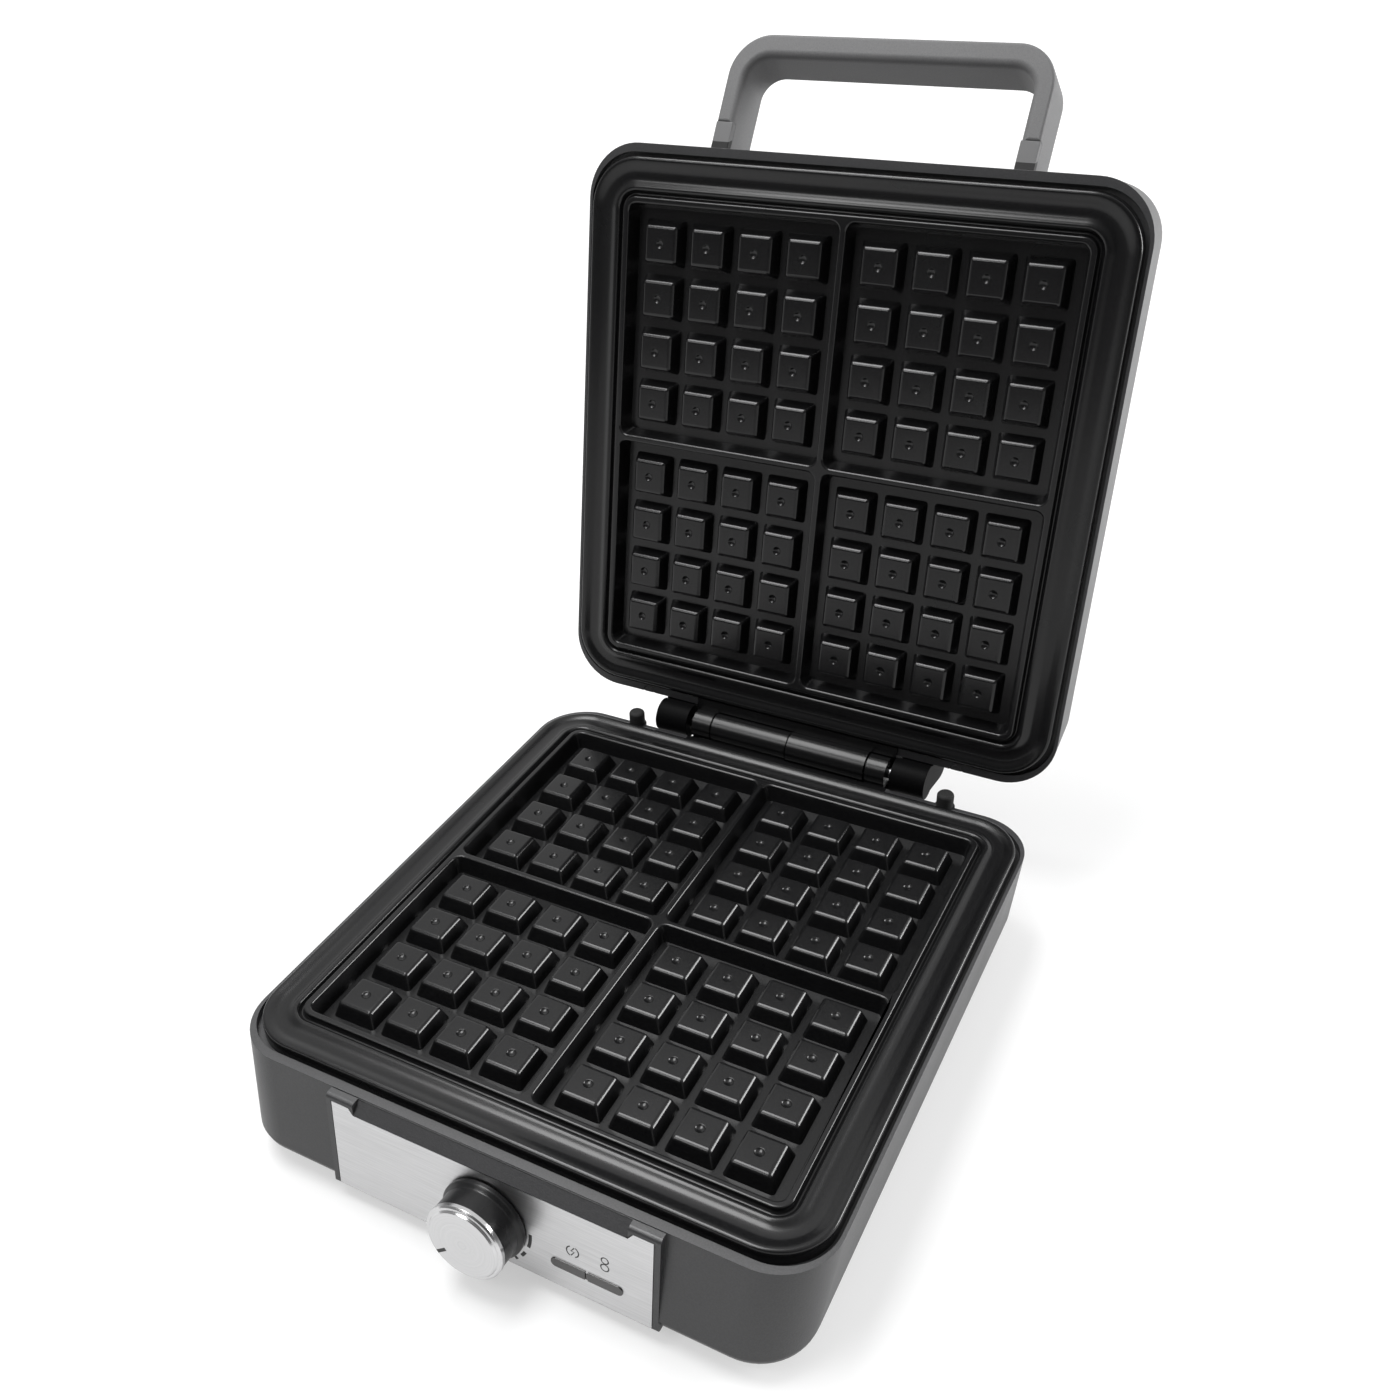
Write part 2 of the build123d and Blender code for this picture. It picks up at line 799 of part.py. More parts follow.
def thermostat_body():
    """Round switch body on a bent bracket, with a threaded neck through the wall."""
    back = wall_back - thermostat_bracket_sheet
    body = panel_solid(Circle(thermostat_radius), back - thermostat_depth, back)
    bracket_face = Rectangle(2 * thermostat_bracket_half, 2 * thermostat_bracket_half_height)
    bracket = panel_solid(bracket_face, back, wall_back)
    neck = panel_solid(Circle(thermostat_neck_radius), wall_back, 0)
    whole = body + bracket + neck
    hole = Circle(shaft_radius + shaft_running_gap)
    shaft_end = wall_back - thermostat_depth / 2
    return whole - panel_solid(hole, shaft_end - shaft_running_gap, 0)


def capillary_ends():
    """Where the capillary leaves the bulb, and where it meets the thermostat's back."""
    back = wall_back - thermostat_bracket_sheet - thermostat_depth - capillary_end_gap
    end = (panel_plane.location * Pos(0, capillary_rise, back)).position
    start = (0, -bulb_length / 2, parting_z + plate_under_z - bulb_radius)
    return start, (end.X, end.Y, end.Z)


def sensor_bulb():
    """Sensor bulb held under the lower plate by a strap, its capillary led to the thermostat."""
    start, end = capillary_ends()
    bulb = Pos(0, 0, start[2]) * Rot(90, 0, 0) * Cylinder(bulb_radius, bulb_length)
    run = Line(start, end)
    section = Plane(origin=run @ 0, z_dir=run % 0) * Circle(capillary_radius)
    return bulb + sweep(section, path=run)


# Hinge

def hinge_pin():
    return rod_x(-pin_half_length, pin_half_length, hinge_y, pivot_z, pin_radius)


def base_hinge():
    """Bracket of the base: saddle against the back wall, one long and one short barrel."""
    saddle = block(-bracket_half_x, bracket_half_x, bracket_front_y, bracket_back_y,
                   bracket_low_z, bracket_high_z)
    saddle -= base_outer()
    moving = lid_barrel_radius + saddle_gap
    saddle -= rod_x(-bracket_half_x, -long_knuckle_end, hinge_y, pivot_z, moving)
    saddle -= rod_x(-knuckle_break / 2, short_knuckle_start - knuckle_break, hinge_y, pivot_z,
                    moving)
    saddle -= rod_x(short_knuckle_end, bracket_half_x, hinge_y, pivot_z, moving)
    barrels = [rod_x(-long_knuckle_end, -knuckle_break, hinge_y, pivot_z, barrel_radius),
               rod_x(short_knuckle_start, short_knuckle_end, hinge_y, pivot_z, barrel_radius)]
    whole = saddle + barrels
    return whole - rod_x(-cut_far, cut_far, hinge_y, pivot_z, pin_radius + pin_seat_gap)


def lid_hinge():
    """Bracket of the lid: one long and one short barrel on a web from the back wall."""
    top = pivot_z + lid_bracket_depth
    web = block(-bracket_half_x, bracket_half_x, lid_bracket_front_y, hinge_y + lid_bracket_back,
                pivot_z + lid_bracket_rise, top)
    web -= lid_outer()
    moving = barrel_radius + saddle_gap
    web -= rod_x(-long_knuckle_end - knuckle_break, 0, hinge_y, pivot_z, moving)
    web -= rod_x(short_knuckle_start - knuckle_break, bracket_half_x, hinge_y, pivot_z, moving)
    web -= rod_x(-bracket_half_x, -short_knuckle_end, hinge_y, pivot_z, moving)
    barrels = [rod_x(knuckle_break, long_knuckle_end, hinge_y, pivot_z, lid_barrel_radius),
               rod_x(-short_knuckle_end, -short_knuckle_start, hinge_y, pivot_z, barrel_radius)]
    whole = web + barrels
    whole -= rod_x(-cut_far, cut_far, hinge_y, pivot_z, pin_radius + pin_running_gap)
    return open_lid(whole)


def hinge_arm():
    """Right arm of the lid: an eye about the pin and a body on the lid's back wall."""
    outer_x = arm_inner_x + arm_width
    body = block(arm_inner_x, outer_x, lid_bracket_front_y, arm_back_y, pivot_z,
                 pivot_z + arm_depth)
    upper_edges = body.edges().filter_by(Axis.X).sort_by(Axis.Z)[-2:]
    body = fillet(upper_edges.sort_by(Axis.Y)[-1], arm_corner)
    body -= lid_outer()
    body -= block(arm_inner_x, outer_x, 0, hinge_y - arm_relief, pivot_z, parting_z + ledge_drop)
    eye = rod_x(arm_inner_x - arm_disc, outer_x, hinge_y, pivot_z, arm_eye_radius)
    whole = body + eye
    return whole - rod_x(0, pin_half_length + cover_gap, hinge_y, pivot_z,
                         pin_radius + pin_running_gap)


def rest_buttons():
    """Buttons on the rear ledge, with a bevelled head and a stem."""
    head_height = button_top_z - ledge_z
    head = Cylinder(button_radius, head_height)
    head = chamfer(head.edges().sort_by(Axis.Z)[-1], button_chamfer)
    pieces = []
    for side in (-1, 1):
        place = Pos(side * button_x, button_y, ledge_z + head_height / 2)
        stem = prism(side * button_x, button_y, ledge_z - button_stem_length, ledge_z,
                     button_stem_radius)
        pieces.append(place * head + stem)
    return Compound(pieces)


# Lid, drawn closed

def lid_outer():
    """Outside of the closed lid: leaning walls and a rounded top edge, drawn in level bands."""
    low_z = parting_z + ledge_drop
    top_z = parting_z + lid_depth
    bands = [outline(shell_half_x, -shell_half_y, shell_half_y, shell_corner, low_z)]
    for inset, drop in reversed(round_steps(lid_top_round)):
        bands.append(outline(lid_top_half_x - inset, inset - lid_top_half_y,
                             lid_top_half_y - inset, lid_top_corner - inset, top_z - drop))
    return loft(bands, ruled=True)


def lid_housing():
    """Lid shell with a ledge for the plate, pillars and a recessed seat for its cover."""
    shell = lid_outer()
    seat = parting_z + skirt_depth
    ledge_top = seat + ledge_thickness
    inner_top = parting_z + lid_depth - shell_wall - lid_cover_recess
    low = outline(shell_half_x - shell_wall, shell_wall - shell_half_y,
                  shell_half_y - shell_wall, shell_corner - shell_wall, ledge_top)
    lean = shell_wall + lid_inner_lean
    high = outline(lid_top_half_x - lean, lean - lid_top_half_y, lid_top_half_y - lean,
                   lid_top_corner - shell_wall, inner_top)
    shell -= loft([low, high], ruled=True)
    shell -= extrude(outline(ledge_half_x, -ledge_half_y, ledge_half_y, ledge_corner, parting_z),
                     amount=skirt_depth + ledge_thickness)
    shell -= extrude(outline(mouth_half_x, -mouth_half_y, mouth_half_y, mouth_corner, parting_z),
                     amount=skirt_depth)
    tray_back = parting_z - reflector_z + reflector_sheet
    pillars = [square_post(x, y, tray_back, inner_top, cover_boss_half)
               for x, y in corners(post_x, post_y)]
    shell = shell + pillars
    top_z = parting_z + lid_depth
    for x, y in corners(post_x, post_y):
        shell -= prism(x, y, tray_back, top_z, screw_hole)
        shell -= prism(x, y, lid_screw_seat(), top_z, screw_head_recess)
    shell -= extrude(lid_cover_sketch(cover_gap, top_z - lid_cover_recess),
                     amount=lid_cover_recess)
    return shell


def lid_screw_seat():
    return parting_z + lid_depth - lid_screw_depth


def lid_cover_sketch(grow, z):
    return outline(lid_cover_half_x + grow, -lid_cover_half_y - grow, lid_cover_half_y + grow,
                   lid_cover_corner + grow, z)


def lid_cover():
    """Low crowned cover let into the top of the lid."""
    seat = parting_z + lid_depth - lid_cover_recess
    cover = extrude(lid_cover_sketch(0, seat), amount=lid_cover_recess + lid_cover_crown)
    cover = chamfer(cover.edges().group_by(Axis.Z)[-1], lid_cover_crown)
    return open_lid(cover)


def upper_plate_screws():
    """Screws from under the lid's cover, through the reflector, into the upper plate's posts."""
    seat = lid_screw_seat()
    pieces = []
    for x, y in corners(post_x, post_y):
        head = screw_head(x, y, seat, seat + screw_head_height)
        shank = prism(x, y, parting_z - reflector_z - screw_bite, seat, screw_radius)
        pieces.append(head + shank)
    return open_lid(Compound(pieces))


# Handle

def handle_plane():
    """Plane of the handle's underside on the closed lid: its Y runs out along the handle."""
    slope = math.radians(handle_slope)
    return Plane(origin=(0, handle_foot[0], handle_foot[1]), x_dir=(1, 0, 0),
                 z_dir=(0, -math.sin(slope), -math.cos(slope)))


def handle_loop(depth_low, depth_high):
    """U-shaped loop between two depths above the underside."""
    length = handle_reach + handle_root
    middle = (handle_reach - handle_root) / 2
    outer = Pos(0, middle) * RectangleRounded(2 * handle_half_x, length, handle_corner)
    straight = Rectangle(2 * handle_half_x, length - handle_corner)
    outer = outer + Pos(0, middle - handle_corner / 2) * straight
    inner_half = handle_half_x - handle_leg
    inner_end = handle_reach - handle_bar
    inner_length = inner_end + handle_root + 2 * handle_inner_corner
    inner = RectangleRounded(2 * inner_half, inner_length, handle_inner_corner)
    loop = outer - Pos(0, inner_end - inner_length / 2) * inner
    plane = handle_plane().offset(-depth_high)
    return extrude(plane * loop, amount=depth_high - depth_low)


def handle_foot_zone():
    """Everything across the handle up to the end of its foot inserts."""
    face = Pos(0, handle_insert_length - cut_far / 2) * Rectangle(cut_far, cut_far)
    return extrude(handle_plane() * face, amount=cut_far, both=True)


def handle_face():
    """Thin shell on the handle's underside."""
    return open_lid(handle_loop(0, handle_face_shell) - handle_foot_zone())


def handle_back():
    """Deep shell that closes the handle from above and meets the lid."""
    shell = handle_loop(handle_face_shell, handle_face_shell + handle_back_shell)
    return open_lid(shell - lid_outer() - below_lid_wall())


def below_lid_wall():
    """Everything behind the lid's front wall."""
    return block(-cut_far, cut_far, handle_root_depth - lid_top_half_y, 0, 0, cut_far)


def handle_inserts():
    """Dark inserts at the feet of the legs."""
    strip = handle_loop(0, handle_face_shell) & handle_foot_zone()
    strip = strip - lid_outer() - below_lid_wall()
    return open_lid(Compound(strip.solids()))


# Electrical pieces

def bush_axis_y():
    """Y of the base's back wall at the height of the cord bush."""
    share = (bush_z - base_bottom_z) / (ledge_z - base_bottom_z)
    return base_bottom_back + share * (shell_half_y - base_bottom_back)


def bush_hole():
    tube = Cylinder(bush_wall_radius, 2 * cut_over)
    return Pos(bush_x, bush_axis_y(), bush_z) * Rot(90, 0, 0) * tube


def cord_bush():
    """Bush in the back wall with a bore for the cord."""
    wall_y = bush_axis_y()
    length = bush_inner + bush_outer
    middle = Pos(bush_x, wall_y + (bush_outer - bush_inner) / 2, bush_z)
    tube = middle * Rot(90, 0, 0) * Cylinder(bush_wall_radius, length)
    flange = Pos(bush_x, wall_y, bush_z) * Rot(90, 0, 0) * Cylinder(bush_flange_radius,
                                                                   2 * bush_flange)
    bore = Pos(bush_x, wall_y, bush_z) * Rot(90, 0, 0) * Cylinder(bush_bore, 3 * length)
    return tube + (flange - base_outer()) - bore


def terminal_block():
    """Three-pole connector on the bottom cover."""
    x, y = block_place
    size_x, size_y, size_z = block_size
    low = base_bottom_z + cover_thickness
    body = block(x - size_x / 2, x + size_x / 2, y - size_y / 2, y + size_y / 2, low, low + size_z)
    for number in (-1, 0, 1):
        place = Pos(x + number * block_pole_pitch, y, low + block_pole_rise)
        body -= place * Rot(90, 0, 0) * Cylinder(block_pole_radius, size_y)
    return body


def thermal_fuse():
    """Fuse in a sleeve, held under the lower plate by the front strap."""
    z = parting_z + plate_under_z - fuse_radius
    middle = Pos(fuse_x, strap_y_places[0], z)
    return middle * Rot(0, 90, 0) * Cylinder(fuse_radius, fuse_length)


def nodes():
    """Every sub-part by name."""
    plate = waffle_plate()
    element = heating_element()
    clamps = element_clamps()
    reflector = heat_reflector()
    arm = hinge_arm()
    return {
        "base_housing": base_housing(),
        "bottom_cover": bottom_cover(),
        "rubber_feet": rubber_feet(),
        "lower_plate": lower(plate),
        "lower_heating_element": lower(element),
        "lower_element_clamps": lower(clamps),
        "lower_heat_reflector": lower(reflector) - capillary_slot(),
        "lower_plate_screws": lower_plate_screws(),
        "control_panel": control_panel(),
        "power_lamp_lens": lamp_lens(-1),
        "ready_lamp_lens": lamp_lens(1),
        "lamp_holder": lamp_holder(),
        "indicator_lamps": indicator_lamps(),
        "thermostat_body": thermostat_body(),
        "sensor_bulb": sensor_bulb(),
        "thermal_fuse": thermal_fuse(),
        "terminal_block": terminal_block(),
        "cord_bush": cord_bush(),
        "base_hinge_bracket": base_hinge(),
        "hinge_pin": hinge_pin(),
        "rear_rest_buttons": rest_buttons(),
        "thermostat_shaft": thermostat_shaft(),
        "knob_body": knob_body(),
        "knob_cap": knob_cap(),
        "knob_marker": knob_marker(),
        "lid_housing": open_lid(lid_housing()),
        "lid_cover": lid_cover(),
        "upper_plate": upper(plate),
        "upper_heating_element": upper(element),
        "upper_element_clamps": upper(clamps),
        "upper_heat_reflector": upper(reflector),
        "upper_plate_screws": upper_plate_screws(),
        "lid_hinge_bracket": lid_hinge(),
        "hinge_arm_right": open_lid(arm),
        "hinge_arm_left": open_lid(mirror_x(arm)),
        "handle_face": handle_face(),
        "handle_back": handle_back(),
        "handle_foot_inserts": handle_inserts(),
    }


os.makedirs("parts", exist_ok=True)
for name, shape in nodes().items():
    export_step(Pos(0, -move_forward, 0) * shape, f"parts/{name}.step")
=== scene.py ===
import json
import math
import bpy
from mathutils import Matrix, Vector

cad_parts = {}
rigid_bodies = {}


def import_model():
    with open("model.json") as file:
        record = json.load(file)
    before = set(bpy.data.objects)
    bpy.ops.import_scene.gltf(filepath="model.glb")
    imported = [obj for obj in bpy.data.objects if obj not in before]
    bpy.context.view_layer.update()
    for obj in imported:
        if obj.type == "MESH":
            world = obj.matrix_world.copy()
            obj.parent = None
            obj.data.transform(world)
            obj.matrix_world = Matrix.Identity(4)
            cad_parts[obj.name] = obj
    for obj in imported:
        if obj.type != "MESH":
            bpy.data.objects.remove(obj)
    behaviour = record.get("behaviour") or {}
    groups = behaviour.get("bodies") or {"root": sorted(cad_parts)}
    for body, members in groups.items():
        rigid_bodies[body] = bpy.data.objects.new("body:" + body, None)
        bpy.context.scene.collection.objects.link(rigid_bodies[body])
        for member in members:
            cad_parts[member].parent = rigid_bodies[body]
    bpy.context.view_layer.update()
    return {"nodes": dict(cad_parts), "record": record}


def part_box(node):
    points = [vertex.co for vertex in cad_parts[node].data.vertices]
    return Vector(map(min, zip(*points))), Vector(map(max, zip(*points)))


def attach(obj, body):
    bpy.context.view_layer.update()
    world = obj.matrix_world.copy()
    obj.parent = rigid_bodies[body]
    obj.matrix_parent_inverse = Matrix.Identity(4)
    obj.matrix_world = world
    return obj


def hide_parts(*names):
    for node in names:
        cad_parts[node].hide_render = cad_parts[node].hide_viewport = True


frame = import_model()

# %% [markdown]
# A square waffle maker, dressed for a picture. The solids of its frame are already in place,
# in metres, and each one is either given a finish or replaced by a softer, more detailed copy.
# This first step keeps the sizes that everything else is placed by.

body_of = {node: body for body, nodes in frame["record"]["behaviour"]["bodies"].items()
           for node in nodes}

# %% [markdown]
# The camera looks down on the open maker from its front right. It stands where the two
# fields of pegs converge as they do in the photograph, and its small shift puts the optical
# axis where it was. Three plain directions fix how it is turned.

# %% Camera
camera_place = Vector((0.2258, -0.4496, 0.4788))
camera_right = Vector((0.88015, 0.47285, -0.04180))
camera_up = Vector((-0.23701, 0.51401, 0.82438))
camera_back = camera_right.cross(camera_up)
focal_pixels = 1374.56
image_pixels = 1400
axis_pixels = (644.2, 723.9)
sensor_width_mm = 36.0

bpy.ops.object.select_all(action="DESELECT")
bpy.ops.object.camera_add(location=camera_place)
camera = bpy.context.object
turn = Matrix((camera_right, camera_up, camera_back)).transposed()
camera.rotation_euler = turn.to_euler()
camera.data.sensor_width = sensor_width_mm
camera.data.lens = focal_pixels / image_pixels * camera.data.sensor_width
camera.data.shift_x = (image_pixels / 2 - axis_pixels[0]) / image_pixels
camera.data.shift_y = (axis_pixels[1] - image_pixels / 2) / image_pixels
camera.data.clip_start = 0.01
bpy.context.scene.camera = camera
print("lens", round(camera.data.lens, 2))
print("shift", round(camera.data.shift_x, 4), round(camera.data.shift_y, 4))

# %% [markdown]
# Materials and the sky are built from shader nodes. One helper adds a node and fills in its
# plain numbers. The other tells rays of the eye from rays that light things, so that a surface
# may look brighter than the light it gives. The view transform is Standard, which shows a
# colour about as it is written.

# %% Helpers for shader nodes
bpy.context.scene.view_settings.view_transform = "Standard"


def node_of(material, kind, **sockets):
    """Add a shader node and set its plain sockets."""
    node = material.node_tree.nodes.new(kind)
    for socket, value in sockets.items():
        node.inputs[socket.replace("_", " ")].default_value = value
    return node


def seen_rays(nodes, links, others):
    """One for rays of the eye, a share for other named rays, nought for those that light things."""
    rays = nodes.new("ShaderNodeLightPath")
    total = rays.outputs["Is Camera Ray"]
    for ray, share in others.items():
        part = nodes.new("ShaderNodeMath")
        part.operation = "MULTIPLY"
        part.inputs[1].default_value = share
        links.new(rays.outputs[ray], part.inputs[0])
        either = nodes.new("ShaderNodeMath")
        either.operation = "MAXIMUM"
        links.new(total, either.inputs[0])
        links.new(part.outputs[0], either.inputs[1])
        total = either.outputs[0]
    return total


# %% [markdown]
# The maker stands on a plain pale table that runs on to the horizon. The table is a real
# surface, so it takes the shadow. To the eye and in reflections it also glows a little, more so
# far away where the lamps don't reach, which brings it up to white without putting more light
# on the object. A stronger lamp would do that too, but it would bleach the maker as well.

# %% Table
table_size = 30.0
table_tone = (0.45, 0.45, 0.45, 1)
glow_reach = (0.3, 2.4)
glow_strength = (0.50, 0.90)
glow_in_reflections = 0.75

bpy.ops.mesh.primitive_plane_add(size=table_size, location=(0, 0, 0))
table = bpy.context.object
table.name = "white_table"
table_white = bpy.data.materials.new("table_white")
table_white.use_nodes = True
table_nodes = table_white.node_tree.nodes
table_links = table_white.node_tree.links
table_shader = table_nodes["Principled BSDF"]
table_shader.inputs["Base Color"].default_value = table_tone
table_shader.inputs["Roughness"].default_value = 0.7
table_shader.inputs["Specular IOR Level"].default_value = 0.1
table_glow = node_of(table_white, "ShaderNodeEmission")
table_place = node_of(table_white, "ShaderNodeTexCoord")
table_reach = node_of(table_white, "ShaderNodeVectorMath")
table_reach.operation = "LENGTH"
table_lift = node_of(table_white, "ShaderNodeMapRange", From_Min=glow_reach[0], From_Max=glow_reach[1],
                     To_Min=glow_strength[0], To_Max=glow_strength[1])
table_seen = node_of(table_white, "ShaderNodeMath")
table_seen.operation = "MULTIPLY"
table_sum = node_of(table_white, "ShaderNodeAddShader")
table_links.new(table_place.outputs["Object"], table_reach.inputs[0])
table_links.new(table_reach.outputs["Value"], table_lift.inputs["Value"])
table_links.new(table_lift.outputs["Result"], table_seen.inputs[0])
table_rays = seen_rays(table_nodes, table_links,
                       {"Is Glossy Ray": glow_in_reflections, "Is Transmission Ray": 1.0})
table_links.new(table_rays, table_seen.inputs[1])
table_links.new(table_seen.outputs[0], table_glow.inputs["Strength"])
table_links.new(table_shader.outputs[0], table_sum.inputs[0])
table_links.new(table_glow.outputs[0], table_sum.inputs[1])
table_links.new(table_sum.outputs[0], table_nodes["Material Output"].inputs["Surface"])
table.data.materials.append(table_white)
print("table", table.name, "glows", glow_strength, "between", glow_reach, "m")

# %% [markdown]
# The sky is seen white too. The light it gives is stronger from behind the maker than from the
# dark side of the room where the camera stands, so the glossy black edges have something
# bright to mirror while the faces turned to the camera stay dark. A picture of a room could do
# the same, but a ramp along Y is enough here.

# %% Surroundings
sky_band = (-0.9, 0.9)
sky_strength = (0.05, 1.0)

surroundings = bpy.data.worlds.new("white_surroundings")
bpy.context.scene.world = surroundings
surroundings.use_nodes = True
sky_nodes = surroundings.node_tree.nodes
sky_links = surroundings.node_tree.links
sky_light = sky_nodes["Background"]
sky_light.inputs["Color"].default_value = (1, 1, 1, 1)
sky_place = sky_nodes.new("ShaderNodeTexCoord")
sky_parts = sky_nodes.new("ShaderNodeSeparateXYZ")
sky_level = sky_nodes.new("ShaderNodeMapRange")
sky_level.inputs["From Min"].default_value = sky_band[0]
sky_level.inputs["From Max"].default_value = sky_band[1]
sky_level.inputs["To Min"].default_value = sky_strength[0]
sky_level.inputs["To Max"].default_value = sky_strength[1]
sky_links.new(sky_place.outputs["Generated"], sky_parts.inputs[0])
sky_links.new(sky_parts.outputs["Y"], sky_level.inputs["Value"])
sky_links.new(sky_level.outputs["Result"], sky_light.inputs["Strength"])
sky_seen = sky_nodes.new("ShaderNodeBackground")
sky_seen.inputs["Strength"].default_value = 1.0
sky_mix = sky_nodes.new("ShaderNodeMixShader")
sky_links.new(seen_rays(sky_nodes, sky_links, {"Is Transmission Ray": 1.0}), sky_mix.inputs[0])
sky_links.new(sky_light.outputs[0], sky_mix.inputs[1])
sky_links.new(sky_seen.outputs[0], sky_mix.inputs[2])
sky_links.new(sky_mix.outputs[0], sky_nodes["World Output"].inputs["Surface"])
print("sky light from", sky_strength[0], "in front to", sky_strength[1], "behind")

# %% [markdown]
# Three soft boxes light the maker. The one straight above draws the bright lines along the
# cast edges, the one behind its right shoulder catches the right-hand sides, and a weak one at
# the left front keeps the far sides readable.

# %% Soft boxes
lamps_aim = Vector((0, 0, 0.1))


def soft_box(name, place, size, power):
    """Rectangular area lamp that faces the middle of the maker."""
    bpy.ops.object.light_add(type="AREA", location=place)
    lamp = bpy.context.object
    lamp.name = name
    lamp.data.shape = "RECTANGLE"
    lamp.data.size = size[0]
    lamp.data.size_y = size[1]
    lamp.data.energy = power
    direction = lamps_aim - Vector(place)
    lamp.rotation_euler = direction.to_track_quat("-Z", "Y").to_euler()


soft_box("soft_box_top", place=(-0.4, -0.05, 1.5), size=(1.0, 0.6), power=22)
soft_box("soft_box_right", place=(1.5, 1.0, 0.6), size=(0.8, 0.8), power=36)
soft_box("soft_box_left", place=(-0.55, -1.0, 1.3), size=(0.6, 0.5), power=6)

# %% [markdown]
# Every finish below is made from noise in the piece's own space. One fine noise gives the
# grain, as a small bump, and one broad noise lets the shine wander a little, as it does on
# real mouldings and castings. A stretched noise gives brushing. What is the same all over a
# piece, such as its coat, is set on the shader itself, because an export keeps it only there.

# %% Finish helper
shine_scale = 35.0
tone_band = (0.3, 0.7)


def finish(name, dark, light, rough, grain, bump, metallic=0.0, specular=0.5, coat=0.0,
           coat_rough=0.1, stretch=(1, 1, 1), anisotropy=0.0):
    """Procedural finish: colour between two tones, wandering shine and a fine bump.

    rough is the range over which the shine wanders. grain is the fine noise's scale, so 1000 is
    a grain of about a millimetre, and bump is the grain's height in metres.
    """
    material = bpy.data.materials.new(name)
    material.use_nodes = True
    links = material.node_tree.links
    shader = material.node_tree.nodes["Principled BSDF"]
    shader.inputs["Metallic"].default_value = metallic
    shader.inputs["Specular IOR Level"].default_value = specular
    shader.inputs["Coat Weight"].default_value = coat
    shader.inputs["Coat Roughness"].default_value = coat_rough
    shader.inputs["Anisotropic"].default_value = anisotropy
    place = node_of(material, "ShaderNodeTexCoord")
    mapping = node_of(material, "ShaderNodeMapping", Scale=stretch)
    fine = node_of(material, "ShaderNodeTexNoise", Scale=grain, Detail=3.0)
    wide = node_of(material, "ShaderNodeTexNoise", Scale=shine_scale, Detail=2.0)
    tones = node_of(material, "ShaderNodeValToRGB")
    tones.color_ramp.elements[0].position = tone_band[0]
    tones.color_ramp.elements[0].color = (*dark, 1)
    tones.color_ramp.elements[1].position = tone_band[1]
    tones.color_ramp.elements[1].color = (*light, 1)
    shine = node_of(material, "ShaderNodeMapRange", To_Min=rough[0], To_Max=rough[1])
    relief = node_of(material, "ShaderNodeBump", Strength=1.0, Distance=bump)
    links.new(place.outputs["Object"], mapping.inputs["Vector"])
    links.new(mapping.outputs["Vector"], fine.inputs["Vector"])
    links.new(place.outputs["Object"], wide.inputs["Vector"])
    links.new(fine.outputs["Fac"], tones.inputs["Fac"])
    links.new(tones.outputs["Color"], shader.inputs["Base Color"])
    links.new(wide.outputs["Fac"], shine.inputs["Value"])
    links.new(shine.outputs["Result"], shader.inputs["Roughness"])
    links.new(fine.outputs["Fac"], relief.inputs["Height"])
    links.new(relief.outputs["Normal"], shader.inputs["Normal"])
    return material


# %% [markdown]
# The housing and its cover are moulded in a dark grey plastic with a fine spark-eroded grain,
# and the hinge in a smoother black. The plates are cast and wear a glossy black coating that
# follows the casting's slight ripple. The handle is a lighter, smoother grey. The black tones
# are far below one tenth, since a black that is written lighter turns grey under soft boxes.

# %% Finishes of the large pieces
housing_black = finish("housing_black", dark=(0.024, 0.024, 0.0255), light=(0.036, 0.036, 0.038),
                       rough=(0.36, 0.46), grain=1500, bump=0.00006, specular=0.6)
cover_black = finish("cover_black", dark=(0.026, 0.026, 0.028), light=(0.038, 0.038, 0.04),
                     rough=(0.45, 0.55), grain=1400, bump=0.00006)
plate_coating = finish("plate_coating", dark=(0.0040, 0.0040, 0.0043), light=(0.0070, 0.0070, 0.0074),
                       rough=(0.22, 0.30), grain=900, bump=0.000004, specular=0.30, coat=0.15,
                       coat_rough=0.12)
hinge_black = finish("hinge_black", dark=(0.004, 0.004, 0.0043), light=(0.007, 0.007, 0.0073),
                     rough=(0.22, 0.30), grain=1500, bump=0.00001, specular=0.3)
handle_grey = finish("handle_grey", dark=(0.120, 0.120, 0.122), light=(0.145, 0.145, 0.147),
                     rough=(0.48, 0.58), grain=1800, bump=0.00003, specular=0.22)
# The hinge arms' black is darker and much duller than the hinge's: painted shade, for the shadow the lid
# casts on the arms.
arm_black_painted_shade = finish("arm_black_painted_shade", dark=(0.0025, 0.0025, 0.0027), light=(0.0045, 0.0045, 0.0047),
                   rough=(0.40, 0.50), grain=1500, bump=0.00002, specular=0.03)
foot_rubber = finish("foot_rubber", dark=(0.007, 0.007, 0.007), light=(0.012, 0.012, 0.012),
                     rough=(0.7, 0.85), grain=1100, bump=0.00005)
print("large finishes ready")

# %% [markdown]
# The inserts at the handle's feet are dark below a straight line and have the handle's grey
# above it. Each could be cut in two there, but then an edge would show. So their finish splits
# at a height instead: the Z of the Object coordinates goes through a steep Map Range, which
# mixes the dark tones with the grey.

# %% Finish of the handle's foot inserts
grey_part_height = 0.0078
split_half_width = 0.00005
insert_grey = (0.132, 0.132, 0.134, 1)

